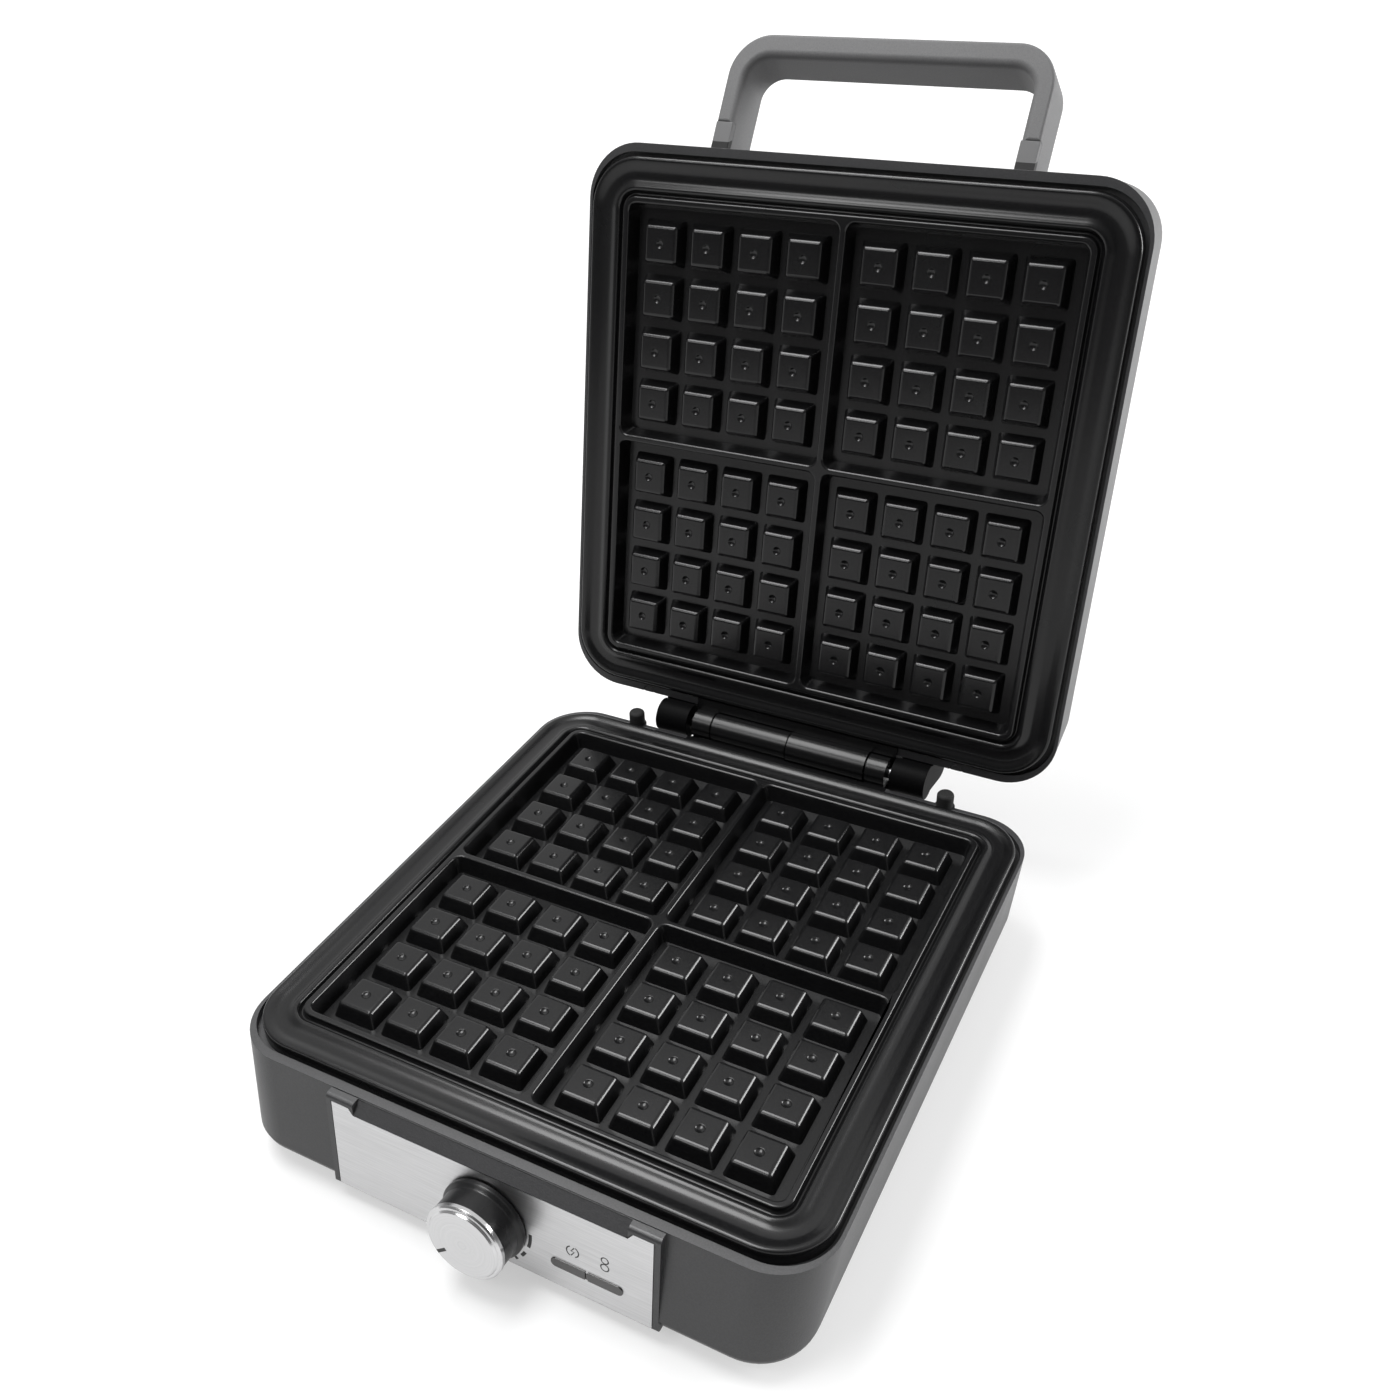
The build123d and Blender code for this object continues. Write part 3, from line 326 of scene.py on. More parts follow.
foot_tones = finish("foot_tones", dark=(0.006, 0.006, 0.0062), light=(0.010, 0.010, 0.0102),
                    rough=(0.48, 0.58), grain=1800, bump=0.00003, specular=0.22)
foot_nodes = foot_tones.node_tree.nodes
foot_links = foot_tones.node_tree.links
foot_dark = next(node for node in foot_nodes if node.type == "VALTORGB")
foot_place = node_of(foot_tones, "ShaderNodeTexCoord")
foot_parts = node_of(foot_tones, "ShaderNodeSeparateXYZ")
foot_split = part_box("handle_foot_inserts")[1][2] - grey_part_height
foot_share = node_of(foot_tones, "ShaderNodeMapRange", From_Min=foot_split - split_half_width,
                     From_Max=foot_split + split_half_width)
foot_mix = node_of(foot_tones, "ShaderNodeMixRGB", Color2=insert_grey)
foot_links.new(foot_place.outputs["Object"], foot_parts.inputs[0])
foot_links.new(foot_parts.outputs["Z"], foot_share.inputs["Value"])
foot_links.new(foot_share.outputs["Result"], foot_mix.inputs["Fac"])
foot_links.new(foot_dark.outputs["Color"], foot_mix.inputs["Color1"])
foot_links.new(foot_mix.outputs["Color"], foot_nodes["Principled BSDF"].inputs["Base Color"])

# %% [markdown]
# The control panel is a thin metal plate that leans back 7 degrees, brushed along its length,
# so its noise is stretched along X. The cap of the knob is turned on a lathe, so its grain
# runs in rings: its coordinates are turned and moved until the knob's axis is Z, and only the
# distance from that axis goes into the fine noise. A ring texture would be too even.

# %% Finishes of the panel and the knob
panel_tilt = math.radians(7.0)
panel_turn = math.pi / 2 - panel_tilt
panel_point = Vector((0, -0.197838, 0.0276))

panel_metal = finish("panel_metal", dark=(0.56, 0.56, 0.565), light=(0.66, 0.66, 0.665),
                     rough=(0.30, 0.38), grain=2600, bump=0.000006, metallic=1.0,
                     stretch=(0.02, 1, 1), anisotropy=0.4)
cap_chrome = finish("cap_chrome", dark=(0.60, 0.60, 0.605), light=(0.68, 0.68, 0.685),
                    rough=(0.16, 0.24), grain=900, bump=0.000002, metallic=1.0)
knob_black = finish("knob_black", dark=(0.006, 0.006, 0.0065), light=(0.010, 0.010, 0.0105),
                    rough=(0.24, 0.32), grain=900, bump=0.000008, specular=0.35)
cap_nodes = cap_chrome.node_tree.nodes
cap_links = cap_chrome.node_tree.links
cap_noise = next(node for node in cap_nodes
                 if node.type == "TEX_NOISE" and node.inputs["Scale"].default_value > shine_scale)
cap_turn = next(node for node in cap_nodes if node.type == "MAPPING")
cap_turn.inputs["Rotation"].default_value = (-panel_turn, 0, 0)
cap_turn.inputs["Location"].default_value = -(Matrix.Rotation(-panel_turn, 3, "X") @ panel_point)
cap_flat = node_of(cap_chrome, "ShaderNodeVectorMath")
cap_flat.operation = "MULTIPLY"
cap_flat.inputs[1].default_value = (1, 1, 0)
cap_radius = node_of(cap_chrome, "ShaderNodeVectorMath")
cap_radius.operation = "LENGTH"
cap_links.new(cap_turn.outputs["Vector"], cap_flat.inputs[0])
cap_links.new(cap_flat.outputs["Vector"], cap_radius.inputs[0])
cap_links.new(cap_radius.outputs["Value"], cap_noise.inputs["Vector"])
marker_black = finish("marker_black", dark=(0.010, 0.010, 0.010), light=(0.016, 0.016, 0.016),
                      rough=(0.4, 0.5), grain=900, bump=0.00001)
print("panel and knob finishes ready")

# %% [markdown]
# The screws and the hinge pin are plated steel, and the pin is ground, so its noise is
# stretched round it. The inner pieces, such as the heating tube, its bright reflector and the
# ceramic block, hardly show, but each still has the plain finish of what it is made of.

# %% Finishes of the screws, the pin and the inner pieces
screw_steel = finish("screw_steel", dark=(0.50, 0.50, 0.51), light=(0.60, 0.60, 0.61),
                     rough=(0.28, 0.42), grain=900, bump=0.00002, metallic=1.0)
pin_steel = finish("pin_steel", dark=(0.20, 0.20, 0.205), light=(0.28, 0.28, 0.285),
                   rough=(0.18, 0.26), grain=1200, bump=0.000004, metallic=1.0, stretch=(1, 0.05, 0.05))
element_steel = finish("element_steel", dark=(0.24, 0.22, 0.20), light=(0.34, 0.32, 0.30),
                       rough=(0.38, 0.52), grain=800, bump=0.00002, metallic=1.0)
reflector_sheet = finish("reflector_sheet", dark=(0.74, 0.74, 0.75), light=(0.82, 0.82, 0.83),
                         rough=(0.22, 0.34), grain=1300, bump=0.00001, metallic=1.0, stretch=(1, 0.05, 1))
thermostat_metal = finish("thermostat_metal", dark=(0.52, 0.52, 0.53), light=(0.62, 0.62, 0.63),
                          rough=(0.28, 0.40), grain=900, bump=0.00001, metallic=1.0)
bulb_copper = finish("bulb_copper", dark=(0.62, 0.34, 0.22), light=(0.76, 0.45, 0.30),
                     rough=(0.26, 0.40), grain=900, bump=0.00001, metallic=1.0)
fuse_sleeve = finish("fuse_sleeve", dark=(0.78, 0.76, 0.69), light=(0.86, 0.84, 0.77),
                     rough=(0.6, 0.7), grain=1800, bump=0.00006, stretch=(1, 0.2, 0.2))
block_ceramic = finish("block_ceramic", dark=(0.74, 0.74, 0.70), light=(0.82, 0.82, 0.78),
                       rough=(0.40, 0.52), grain=1100, bump=0.00003)
holder_white = finish("holder_white", dark=(0.70, 0.69, 0.65), light=(0.77, 0.76, 0.72),
                      rough=(0.45, 0.55), grain=1200, bump=0.00003)
bush_black = finish("bush_black", dark=(0.022, 0.022, 0.022), light=(0.032, 0.032, 0.032),
                    rough=(0.6, 0.7), grain=1100, bump=0.00004)
lens_smoke = finish("lens_smoke", dark=(0.016, 0.014, 0.014), light=(0.026, 0.023, 0.023),
                    rough=(0.10, 0.16), grain=900, bump=0.000004, coat=0.6, coat_rough=0.05)
lamp_glass = finish("lamp_glass", dark=(0.75, 0.40, 0.24), light=(0.88, 0.52, 0.33),
                    rough=(0.05, 0.1), grain=900, bump=0.000004)
lamp_glass.node_tree.nodes["Principled BSDF"].inputs["Transmission Weight"].default_value = 0.6
print("small finishes ready")

# %% [markdown]
# Each solid of the frame takes the finish of its slot in the record. The solids keep their
# shape here. Those that get a softer copy later hand their finish on to it.

# %% Dress the solids
slot_finish = {
    "housing_black": housing_black, "cover_black": cover_black, "screw_steel": screw_steel,
    "foot_rubber": foot_rubber, "plate_coating": plate_coating, "element_steel": element_steel,
    "reflector_sheet": reflector_sheet, "panel_metal": panel_metal, "lens_clear": lens_smoke,
    "holder_white": holder_white, "lamp_glass": lamp_glass, "thermostat_metal": thermostat_metal,
    "bulb_copper": bulb_copper, "fuse_sleeve": fuse_sleeve, "block_ceramic": block_ceramic,
    "bush_black": bush_black, "hinge_black": hinge_black, "pin_steel": pin_steel,
    "knob_black": knob_black, "cap_chrome": cap_chrome, "marker_black": marker_black,
    "handle_grey": handle_grey,
}
slot_of = {entry["node"]: entry["material_slot"] for entry in frame["record"]["subparts"]}
for node_name, piece in frame["nodes"].items():
    piece.data.materials.clear()
    piece.data.materials.append(slot_finish[slot_of[node_name]])
print("dressed", len(slot_of), "solids with", len(slot_finish), "finishes")

# %% [markdown]
# No moulded or cast edge is razor sharp. A copy of a solid is merged into one skin, its flat
# faces are joined, and a bevel rounds every edge that is sharper than a given angle. The
# rounded copy then stands for the solid. Rounding in the shader only would be quicker, but the
# outline would stay sharp.

# %% Select and merge
merge_distance = 0.00001
flat_angle = math.radians(0.5)


def alone(piece):
    """Select one object and nothing else."""
    if bpy.context.mode != "OBJECT":
        bpy.ops.object.mode_set(mode="OBJECT")
    bpy.ops.object.select_all(action="DESELECT")
    piece.select_set(True)
    bpy.context.view_layer.objects.active = piece


def merged_copy(node_name, name):
    """Copy a solid and merge its loose triangles into clean faces."""
    alone(frame["nodes"][node_name])
    bpy.ops.object.duplicate()
    piece = bpy.context.object
    piece.name = name
    bpy.ops.object.parent_clear(type="CLEAR_KEEP_TRANSFORM")
    bpy.ops.object.mode_set(mode="EDIT")
    bpy.ops.mesh.select_all(action="SELECT")
    bpy.ops.mesh.remove_doubles(threshold=merge_distance)
    bpy.ops.mesh.dissolve_limited(angle_limit=flat_angle)
    bpy.ops.object.mode_set(mode="OBJECT")
    return piece


# %% Modifiers, smoothing and bevels
smooth_angle = math.radians(35.0)


def apply_modifier(piece, kind, **settings):
    """Add a modifier, set it and apply it."""
    alone(piece)
    modifier = piece.modifiers.new(kind.lower(), kind)
    for setting, value in settings.items():
        setattr(modifier, setting, value)
    bpy.ops.object.modifier_apply(modifier=modifier.name)


def smoothed(piece):
    """Smooth shading in which the large flat faces stay flat.

    Old normals and edge marks are cleared first, because a marked edge would stay as it was.
    """
    alone(piece)
    if piece.data.has_custom_normals:
        bpy.ops.mesh.customdata_custom_splitnormals_clear()
    bpy.ops.object.shade_flat()
    bpy.ops.object.shade_smooth_by_angle(angle=smooth_angle, keep_sharp_edges=False)
    apply_modifier(piece, "WEIGHTED_NORMAL", mode="FACE_AREA", weight=100, keep_sharp=True)


def round_all(piece, width, segments=3, angle=32.0):
    """Round every edge that is sharper than an angle in degrees."""
    apply_modifier(piece, "BEVEL", width=width, segments=segments, limit_method="ANGLE",
                   angle_limit=math.radians(angle), harden_normals=False)


def round_where(piece, chosen, width, segments):
    """Round the edges that a test picks by their middle and the two normals beside them."""
    mesh = piece.data
    beside = {}
    for face in mesh.polygons:
        for key in face.edge_keys:
            beside.setdefault(key, []).append(face.normal.copy())
    alone(piece)
    bpy.ops.object.mode_set(mode="EDIT")
    bpy.ops.mesh.select_mode(type="EDGE")
    bpy.ops.mesh.select_all(action="DESELECT")
    bpy.ops.object.mode_set(mode="OBJECT")
    count = 0
    for edge in mesh.edges:
        ends = [mesh.vertices[index].co for index in edge.vertices]
        normals = beside.get(edge.key, [])
        edge.select = len(normals) == 2 and bool(chosen((ends[0] + ends[1]) / 2, *normals))
        count += edge.select
    bpy.ops.object.mode_set(mode="EDIT")
    bpy.ops.mesh.bevel(offset=width, segments=segments, profile=0.5)
    bpy.ops.object.mode_set(mode="OBJECT")
    print(piece.name, count, "edges rounded")


# %% Count open edges and stand for a solid
def open_edges(piece):
    """How many edges don't lie between exactly two faces."""
    uses = {}
    for face in piece.data.polygons:
        for key in face.edge_keys:
            uses[key] = uses.get(key, 0) + 1
    return sum(count != 2 for count in uses.values())


def stands_for(piece, node_name):
    """Let a piece take a solid's place and body, and hide the solid."""
    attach(piece, body_of[node_name])
    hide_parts(node_name)
    print(piece.name, len(piece.data.polygons), "faces")


def rounded(node_name, width, segments=3):
    """Rounded copy of a solid that stands for it."""
    piece = merged_copy(node_name, node_name + "_rounded")
    round_all(piece, width, segments)
    smoothed(piece)
    stands_for(piece, node_name)
    return piece


# %% [markdown]
# Each moulding gets the radius that suits its size and tool: just under a millimetre on the housings and
# the feet, half of it on the hinge, and a quarter on the metal cap. The hinge arms and the foot inserts
# share a slot with the hinge but not its finish, so theirs is changed. The arms get a blacker, far less
# shiny finish than the hinge: painted shade, standing in for the shadow the lid casts on them.

# %% Round the mouldings
rounded("base_housing", 0.0008)
lid_piece = rounded("lid_housing", 0.0009)
rounded("lid_cover", 0.0005)
rounded("base_hinge_bracket", 0.0005, 2)
rounded("lid_hinge_bracket", 0.0005, 2)
for node_name, edge_width, own_finish in (("hinge_arm_right", 0.0008, arm_black_painted_shade),
                                          ("hinge_arm_left", 0.0008, arm_black_painted_shade),
                                          ("handle_foot_inserts", 0.0004, foot_tones)):
    piece = rounded(node_name, edge_width)
    piece.data.materials.clear()
    piece.data.materials.append(own_finish)
rounded("knob_body", 0.0004)
rounded("knob_cap", 0.00025)
rounded("rear_rest_buttons", 0.0006)
rounded("rubber_feet", 0.0008)
rounded("bottom_cover", 0.0004, 2)
rounded("cord_bush", 0.0006)

# %% [markdown]
# The handle is two shells with a fine seam between them. Both roll softly into the opening,
# where the fingers go, and their outer edges have a smaller radius. One bevel over all edges
# can't give two radii, so the edges are rounded in groups, picked by the faces beside them.
# The broad face of a shell is its largest one that looks the right way.

# %% Handle
handle_middle = Vector((0, 0.1900, 0.3480))
inward_least = 0.004
opening_radius = 0.0030
seam_radius = 0.0003
same_way = 0.99
steep_most = 0.5
upright_most = 0.2


def into_opening(middle, normal):
    """Whether a face beside an edge looks into the handle's opening."""
    toward = handle_middle - middle
    return normal.dot(toward) > inward_least


def handle_shell(node_name, facing, outer_radius):
    """Handle shell with its two groups of edges and a fine seam."""
    piece = merged_copy(node_name, node_name + "_rounded")
    broad_faces = [(face.area, tuple(face.normal)) for face in piece.data.polygons
                   if face.normal.dot(Vector(facing)) > 0.5]
    outward = Vector(max(broad_faces)[1])

    def at_broad_face(first, second):
        """Whether just one of the two faces at an edge is the broad one."""
        return (first.dot(outward) > same_way) != (second.dot(outward) > same_way)

    def side_of(first, second):
        """Normal of the other face at an edge of the broad one."""
        return second if first.dot(outward) > same_way else first

    def inner_edge(middle, first, second):
        """Edge between the broad face and the opening's wall."""
        side = side_of(first, second)
        steep = abs(side.dot(outward)) < steep_most
        return at_broad_face(first, second) and steep and into_opening(middle, side)

    def outer_edge(middle, first, second):
        """Edge between the broad face and the handle's outside."""
        side = side_of(first, second)
        upright = abs(side.dot(outward)) < upright_most
        return at_broad_face(first, second) and upright and not into_opening(middle, side)

    round_where(piece, inner_edge, opening_radius, 6)
    round_where(piece, outer_edge, outer_radius, 4)
    round_all(piece, seam_radius, 2)
    smoothed(piece)
    stands_for(piece, node_name)


handle_shell("handle_face", facing=(0, -1, 0), outer_radius=0.0014)
handle_shell("handle_back", facing=(0, 1, 0), outer_radius=0.0022)

# %% [markdown]
# The waffle plates are castings. Round the field of pegs runs a thin ridge, then a narrow
# groove, and then a shallow gutter that catches what runs over. The gutter's soft slopes carry
# the long bright lines. Its section is drawn here once, as distances out from the ridge and
# heights over the parting plane, both in millimetres. A spline through the few points of its
# upper side makes it soft, and its hidden back stays straight.

# %% Section of the plate's rim
rim_inner = 0.1
rim_bottom = -8.0
rim_section = [
    (rim_inner, -0.6), (0.45, -0.17), (0.95, -0.17), (1.3, -0.3), (1.55, -0.7), (1.8, -2.3), (2.05, -2.9),
    (2.5, -3.2), (2.95, -3.15), (3.35, -2.8), (3.8, -2.0), (4.2, -1.4), (4.7, -1.0), (5.3, -0.85),
    (5.9, -0.9), (6.6, -1.15), (7.4, -1.55), (8.2, -1.9), (9.0, -2.1), (10.0, -2.2),
    (11.5, -2.22), (12.8, -2.15), (13.8, -1.95), (14.8, -1.6), (15.8, -1.25), (16.8, -1.0), (17.8, -0.92),
    (18.5, -1.1), (18.95, -1.5), (19.2, -2.3), (19.2, rim_bottom), (16.2, rim_bottom), (16.2, -6.05),
    (rim_inner, -5.9),
]
straight_from = next(number for number, point in enumerate(rim_section) if point[1] == rim_bottom)


def softened(points, steps=3):
    """Line of points with smooth curves between them, as a spline through them has."""
    soft = []
    for number in range(len(points) - 1):
        before, start = points[max(number - 1, 0)], points[number]
        end, after = points[number + 1], points[min(number + 2, len(points) - 1)]
        for step in range(steps):
            t = step / steps
            soft.append(tuple(0.5 * (2 * b + (c - a) * t + (2 * a - 5 * b + 4 * c - d) * t ** 2
                                     + (3 * b - a - 3 * c + d) * t ** 3)
                              for a, b, c, d in zip(before, start, end, after)))
    return soft + [points[-1]]


rim_section = softened(rim_section[:straight_from]) + rim_section[straight_from:]
print("rim section of", len(rim_section), "points")

# %% [markdown]
# Both plates are the same casting. Each is shaped lying level at the origin and then moved to
# its place: the lower one straight up onto the base, the upper one turned over and swung open
# about the hinge by the angle at which the lid stands.

# %% Places of the two plates
parting_height = 0.060
middle_y = -0.0518
hinge_place = Vector((0, 0.0950, 0.060))
lid_turn = math.radians(-100.6)


def plate_place(upper):
    """Matrix from a plate lying at the origin to its place at rest."""
    flat = Matrix.Translation((0, middle_y, parting_height))
    if not upper:
        return flat
    to_hinge, from_hinge = Matrix.Translation(hinge_place), Matrix.Translation(-hinge_place)
    swing = to_hinge @ Matrix.Rotation(lid_turn, 4, "X") @ from_hinge
    return swing @ flat @ Matrix.Rotation(math.pi, 4, "X")


def set_in_place(piece, place):
    """Move a piece by a matrix and keep the move in its mesh."""
    piece.matrix_world = place
    alone(piece)
    bpy.ops.object.transform_apply(location=True, rotation=True, scale=True)


# %% [markdown]
# The section is swept round the field of pegs. A circle with the right number of points is
# pulled into the section's shape, then extruded along each side and spun round each corner.
# A curve with a bevel object could sweep it too, but its corners would be harder to keep round.
# The faces that stay behind inside the ring are deleted, so that it closes on itself.

# %% Rim
ridge_half = (0.1100, 0.1135)
ridge_corner = 0.005
quarter_steps = 14


def without_caps(ring):
    """Delete the many-sided faces left inside a ring, so that it closes on itself."""
    caps = [face.index for face in ring.data.polygons if len(face.vertices) > 4]
    print(ring.name, len(ring.data.polygons), "faces", len(caps), "caps left")
    bpy.ops.object.mode_set(mode="EDIT")
    bpy.ops.mesh.select_all(action="DESELECT")
    bpy.ops.object.mode_set(mode="OBJECT")
    for number in caps:
        ring.data.polygons[number].select = True
    bpy.ops.object.mode_set(mode="EDIT")
    bpy.ops.mesh.delete(type="ONLY_FACE")
    bpy.ops.mesh.select_all(action="SELECT")
    bpy.ops.mesh.normals_make_consistent(inside=False)
    bpy.ops.object.mode_set(mode="OBJECT")
    print(ring.name, open_edges(ring), "open edges")


def plate_rim(name):
    """Ring with the rim's section, swept round the rounded field of pegs."""
    half_x, half_y = ridge_half
    corner_x, corner_y = half_x - ridge_corner, half_y - ridge_corner
    bpy.ops.object.select_all(action="DESELECT")
    bpy.ops.mesh.primitive_circle_add(vertices=len(rim_section), radius=0.01, fill_type="NGON",
                                      location=(0, 0, 0))
    ring = bpy.context.object
    ring.name = name
    for vertex, (out, height) in zip(ring.data.vertices, rim_section):
        vertex.co = (0, -half_y - out / 1000, height / 1000)
    bpy.ops.object.mode_set(mode="EDIT")
    bpy.ops.mesh.select_all(action="SELECT")
    bpy.ops.transform.translate(value=(-corner_x, 0, 0))
    sides = (((2 * corner_x, 0, 0), (corner_x, -corner_y, 0)),
             ((0, 2 * corner_y, 0), (corner_x, corner_y, 0)),
             ((-2 * corner_x, 0, 0), (-corner_x, corner_y, 0)),
             ((0, -2 * corner_y, 0), (-corner_x, -corner_y, 0)))
    for run, corner in sides:
        bpy.ops.mesh.extrude_region_move(TRANSFORM_OT_translate={"value": run})
        bpy.ops.mesh.spin(steps=quarter_steps, angle=-math.pi / 2, center=corner, axis=(0, 0, 1))
    bpy.ops.mesh.delete(type="ONLY_FACE")
    bpy.ops.mesh.select_all(action="SELECT")
    bpy.ops.mesh.remove_doubles(threshold=merge_distance)
    bpy.ops.object.mode_set(mode="OBJECT")
    without_caps(ring)
    return ring


# %% [markdown]
# The field of pegs is cut out of the casting by a rounded block. The block reaches half a
# millimetre into the ring, since two walls in the very same place would confuse the boolean.

# %% Block round the field
block_overhang = 0.0006
block_middle = -0.010
block_height = 0.040


def field_block(name):
    """Rounded block that holds the field of pegs and reaches a little into the rim."""
    half_x, half_y = ridge_half
    block_size = (2 * (half_x + block_overhang), 2 * (half_y + block_overhang), block_height)
    bpy.ops.object.select_all(action="DESELECT")
    bpy.ops.mesh.primitive_cube_add(size=1, location=(0, 0, block_middle), scale=block_size)
    block = bpy.context.object
    block.name = name
    bpy.ops.object.transform_apply(location=True, rotation=True, scale=True)
    bpy.ops.object.mode_set(mode="EDIT")
    bpy.ops.mesh.select_all(action="DESELECT")
    bpy.ops.object.mode_set(mode="OBJECT")
    for edge in block.data.edges:
        ends = [block.data.vertices[index].co for index in edge.vertices]
        edge.select = abs(ends[0].z - ends[1].z) > block_height / 2
    bpy.ops.object.mode_set(mode="EDIT")
    bpy.ops.mesh.bevel(offset=ridge_corner + block_overhang, segments=quarter_steps)
    bpy.ops.object.mode_set(mode="OBJECT")
    return block


# %% [markdown]
# Each peg has a small round pit in its top, left by the tool that presses the casting out. One
# flattened ball is made and copied to every peg, and all are joined into one cutter, because
# one boolean with 64 balls is far quicker than 64 booleans.

# %% Cutter for the pits
peg_first = (0.01798, 0.0187)
peg_pitch = (0.0245, 0.02526)
pegs_each_way = 4
peg_top = -0.0014
pit_radius = 0.0020
pit_depth = 0.0009
pit_lift = 0.0002


def peg_balls(name):
    """One flattened ball for each peg's pit, joined into one cutter."""
    balls = []
    for sign_x in (-1, 1):
        for sign_y in (-1, 1):
            for column in range(pegs_each_way):
                for row in range(pegs_each_way):
                    middle = (sign_x * (peg_first[0] + column * peg_pitch[0]),
                              sign_y * (peg_first[1] + row * peg_pitch[1]), peg_top + pit_lift)
                    bpy.ops.object.select_all(action="DESELECT")
                    if balls:
                        alone(balls[0])
                        bpy.ops.object.duplicate()
                        bpy.context.object.location = middle
                    else:
                        bpy.ops.mesh.primitive_uv_sphere_add(segments=20, ring_count=14, radius=pit_radius,
                                                             location=middle,
                                                             scale=(1, 1, pit_depth / pit_radius))
                    balls.append(bpy.context.object)
    bpy.ops.object.select_all(action="DESELECT")
    for ball in balls:
        ball.select_set(True)
    bpy.context.view_layer.objects.active = balls[0]
    bpy.ops.object.join()
    cutter = bpy.context.object
    cutter.name = name
    bpy.ops.object.transform_apply(location=True, rotation=True, scale=True)
    return cutter


# %% [markdown]
# A plate is made in this order: the pegs and the mouths of the four pockets are rounded, the
# block cuts the plain rim off, the balls cut the pits, and the new rim is joined on. The pits'
# own edges are softened last, when they exist. The count of open edges after each boolean
# shows at once whether the skin is still closed.

# %% Waffle plates
field_half = (0.1091, 0.1126)
floor_height = -0.0085
peg_rounding = 0.0015
mouth_rounding = 0.0008
pit_rounding = 0.0003
sharp_least = math.radians(30)
above_floor = 0.001
height_slack = 0.0002
mouth_depth = 0.0003


def cut_by(piece, other, operation):
    """Boolean of a piece with a helper, which is then thrown away."""
    apply_modifier(piece, "BOOLEAN", operation=operation, object=other, solver="EXACT")
    bpy.data.objects.remove(other)
    print(piece.name, operation.lower(), len(piece.data.polygons), "faces",
          open_edges(piece), "open edges")


def waffle_plate(node_name, upper):
    """Rounded field of pegs with a pit in every peg and a gutter round it."""
    piece = merged_copy(node_name, node_name + "_rounded")
    place = plate_place(upper)
    back = place.inverted()

    def in_field(middle, low, high):
        """Whether a spot lies in the field of pegs, between two heights."""
        spot = back @ middle
        return abs(spot.x) < field_half[0] and abs(spot.y) < field_half[1] and low < spot.z < high

    def is_sharp(first, second):
        """Whether two faces meet at a clear edge."""
        return first.angle(second) > sharp_least

    def at_peg(middle, first, second):
        """Edge of a peg, well above the pocket's floor."""
        heights = (floor_height + above_floor, peg_top + height_slack)
        return is_sharp(first, second) and in_field(middle, *heights)

    def at_mouth(middle, first, second):
        """Edge of a pocket's mouth, just under the parting plane."""
        return is_sharp(first, second) and in_field(middle, -mouth_depth, 0.0)

    round_where(piece, at_peg, peg_rounding, 4)
    round_where(piece, at_mouth, mouth_rounding, 3)
    stands_for(piece, node_name)
    print(piece.name, "open edges", open_edges(piece))
    for make, operation in ((field_block, "INTERSECT"), (peg_balls, "DIFFERENCE"), (plate_rim, "UNION")):
        helper = make(node_name + "_" + make.__name__)
        set_in_place(helper, place)
        cut_by(piece, helper, operation)

    def at_pit_edge(middle, first, second):
        """Edge of a pit: at the height of the pegs' tops and near a peg's middle."""
        spot = back @ middle
        if abs(spot.z - peg_top) > height_slack / 2 or not is_sharp(first, second):
            return False
        across = (abs(spot.x) - peg_first[0]) % peg_pitch[0]
        along = (abs(spot.y) - peg_first[1]) % peg_pitch[1]
        across = min(across, peg_pitch[0] - across)
        along = min(along, peg_pitch[1] - along)
        return math.hypot(across, along) < pit_radius * 1.1

    round_where(piece, at_pit_edge, pit_rounding, 2)
    smoothed(piece)
    print(piece.name, "with pits and gutter", len(piece.data.polygons), "faces")


waffle_plate("lower_plate", upper=False)
waffle_plate("upper_plate", upper=True)

# %% [markdown]
# On each rear corner of the lid there is a small round pad, where the rest button of the base
# meets it. Only its ring shows, so a fine ring is cut into the rounded lid with a torus.
# It is placed as on a plate lying at the origin and then swung with the lid.

# %% Pads on the lid
pad_place = (0.0865, -0.1383, -0.0045)
pad_radius = 0.0030
pad_groove_radius = 0.0005

for side in (-1, 1):
    bpy.ops.object.select_all(action="DESELECT")
    bpy.ops.mesh.primitive_torus_add(major_radius=pad_radius, minor_radius=pad_groove_radius,
                                     major_segments=32, minor_segments=10,
                                     location=(side * pad_place[0], pad_place[1], pad_place[2]))
    pad_ring = bpy.context.object
    bpy.ops.object.transform_apply(location=True, rotation=True, scale=True)
    set_in_place(pad_ring, plate_place(True))
    cut_by(lid_piece, pad_ring, "DIFFERENCE")
smoothed(lid_piece)
print("pads cut", len(lid_piece.data.polygons))

# %% [markdown]
# The panel is printed beside the knob and over the two lamps. Each printed stroke is a round
# curve turned into a mesh and pressed almost flat onto the metal. The print could be painted
# into the metal's finish, but strokes are easier to place and stay sharp. The signs are plain
# ones: a growing scale round the knob, a flash in a circle for power, and two rings for ready.

# %% Helpers for the marks
panel_place = Matrix.Translation(panel_point) @ Matrix.Rotation(panel_turn, 4, "X")


def arc_points(middle, radius, start, end, steps):
    """Points on an arc from one angle in degrees to another, in millimetres on the panel."""
    points = []
    for step in range(steps + 1):
        angle = math.radians(start + (end - start) * step / steps)
        points.append((middle[0] + radius * math.cos(angle), middle[1] + radius * math.sin(angle)))
    return points


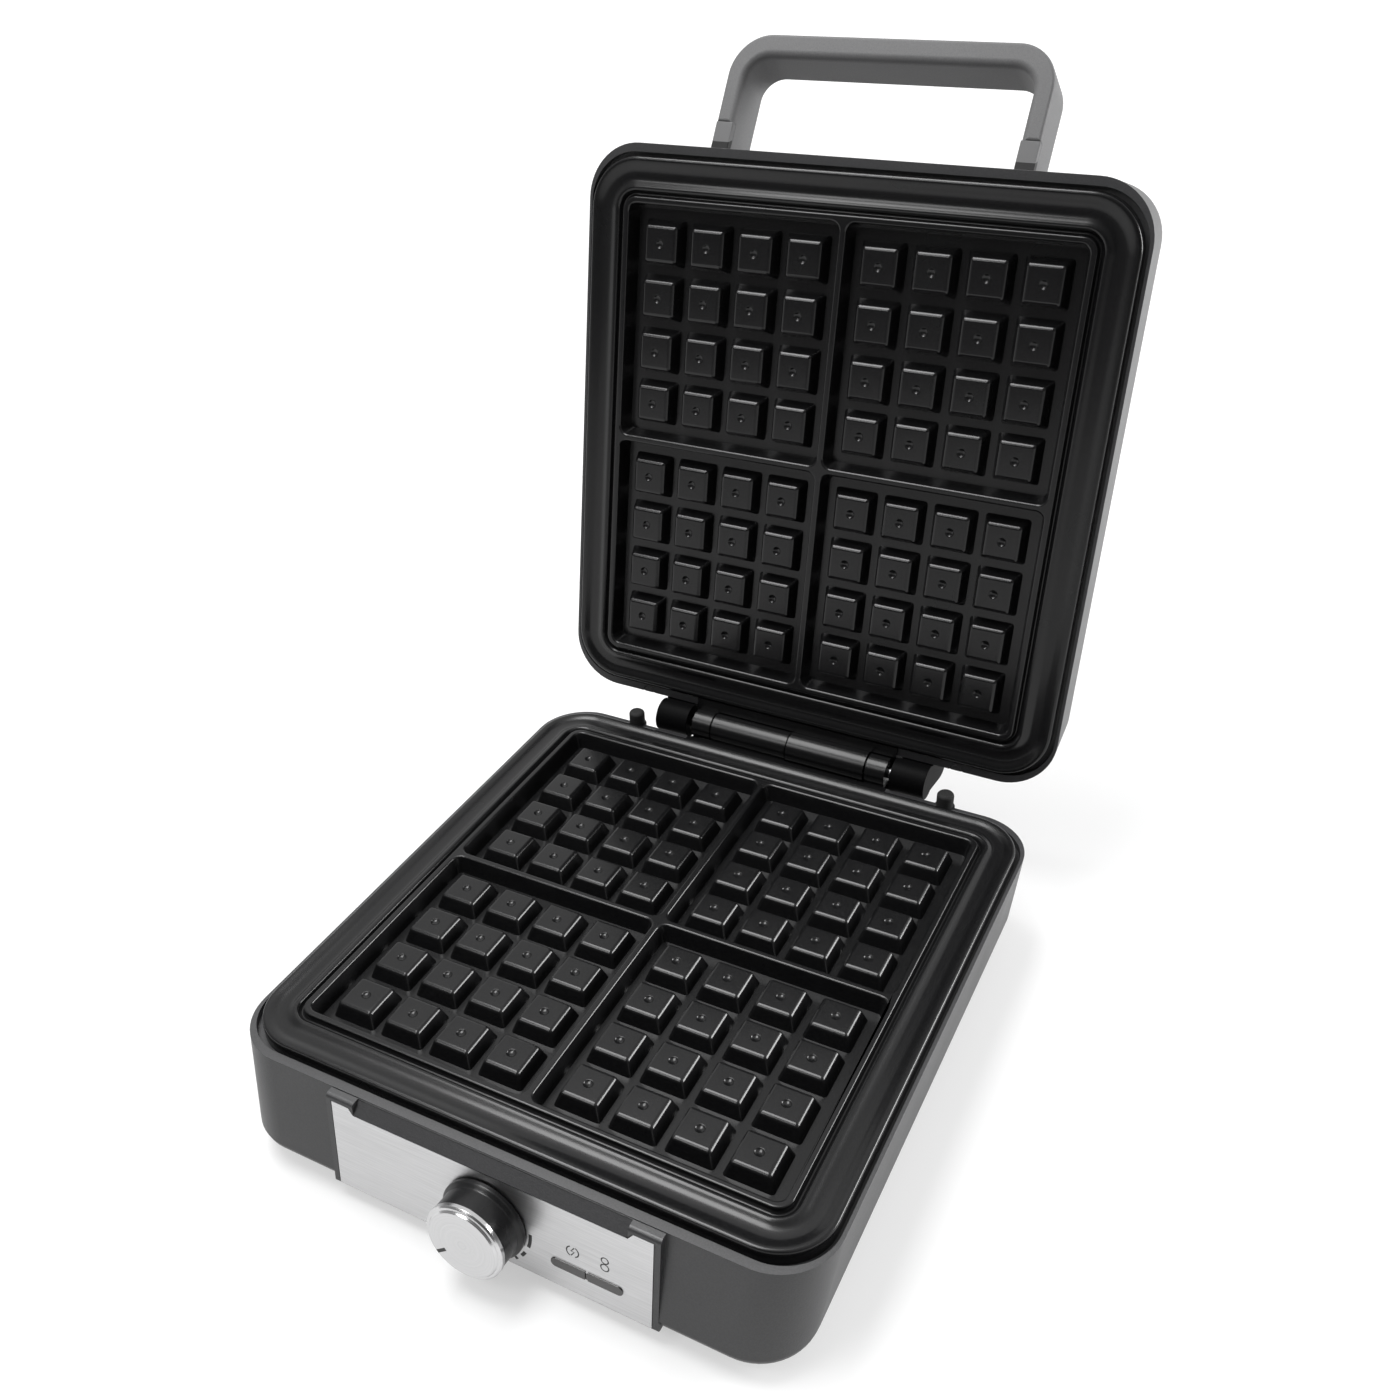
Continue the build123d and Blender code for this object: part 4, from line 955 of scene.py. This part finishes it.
def printed(name, lines, half_width, flatness):
    """Strokes of ink on the panel, as wide as given and as thick as that times the flatness."""
    curve = bpy.data.curves.new(name, "CURVE")
    curve.dimensions = "3D"
    curve.bevel_depth = half_width / 1000
    curve.bevel_resolution = 2
    curve.use_fill_caps = True
    for line in lines:
        spline = curve.splines.new("POLY")
        spline.points.add(len(line) - 1)
        for point, (x, y) in zip(spline.points, line):
            point.co = (x / 1000, y / 1000, 0, 1)
    piece = bpy.data.objects.new(name, curve)
    bpy.context.collection.objects.link(piece)
    alone(piece)
    bpy.ops.object.convert(target="MESH")
    piece = bpy.context.object
    piece.data.materials.append(marker_black)
    set_in_place(piece, panel_place @ Matrix.Diagonal((1, 1, flatness, 1)))
    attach(piece, "base")
    print(name, len(piece.data.polygons), "faces")


# %% Scale and signs
knob_at = (0, 0)
scale_radius = 20.2
scale_arcs = ((3, -18, 10), (-29, -38, 6), (-46, -50, 4))
power_at = (38.8, 2.4)
power_radius = 2.6
power_arcs = ((115, 245, 12), (-65, 65, 12))
flash_corners = ((0.7, 2.2), (-0.7, 0.1), (0.7, -0.1), (-0.7, -2.2))
ready_at = (52.6, 3.4)
ready_rings = ((1.9, 1.5), (-1.7, 1.7))

scale_strokes = [arc_points(knob_at, scale_radius, *arc) for arc in scale_arcs]
printed("panel_scale", scale_strokes, half_width=0.75, flatness=0.05)

sign_strokes = [arc_points(power_at, power_radius, *arc) for arc in power_arcs]
sign_strokes.append([(power_at[0] + x, power_at[1] + y) for x, y in flash_corners])
for rise, radius in ready_rings:
    sign_strokes.append(arc_points((ready_at[0], ready_at[1] + rise), radius, 0, 360, 16))
printed("panel_signs", sign_strokes, half_width=0.28, flatness=0.1)

# %% [markdown]
# The two lamps shine through one long dark window with round ends, split in the middle. Each
# half is a thin plate with a rounded end, laid over its lens. Its two outer edges get a bevel
# of almost half its height, which makes the end round, and a fine bevel breaks the other edges.

# %% Lamp windows
window_middle = -7.0
window_height = 4.4
window_end_rounding = window_height / 2.05 / 1000
window_edge_rounding = 0.00018
window_rise = 0.0001
window_thickness = 0.0007
between_windows = 40


def lamp_window(name, x_low, x_high):
    """Half of the dark window, with its outer end rounded."""
    bpy.ops.object.select_all(action="DESELECT")
    middle = (x_low + x_high) / 2
    bpy.ops.mesh.primitive_cube_add(size=1, location=(middle / 1000, window_middle / 1000, window_rise),
                                    scale=((x_high - x_low) / 1000, window_height / 1000, window_thickness))
    piece = bpy.context.object
    piece.name = name
    bpy.ops.object.transform_apply(location=True, rotation=True, scale=True)
    outer_x = (x_low if x_low < between_windows else x_high) / 1000

    def at_outer_end(middle, first, second):
        """Upright edge at the window's outer end."""
        return abs(first.z) < 0.1 and abs(second.z) < 0.1 and abs(middle.x - outer_x) < 0.0005

    round_where(piece, at_outer_end, window_end_rounding, 8)
    round_all(piece, window_edge_rounding, angle=50)
    set_in_place(piece, panel_place)
    smoothed(piece)
    piece.data.materials.append(lens_smoke)
    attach(piece, "base")


lamp_window("power_lamp_window", 29.3, 44.4)
lamp_window("ready_lamp_window", 45.4, 60.5)
print("lamp windows made")
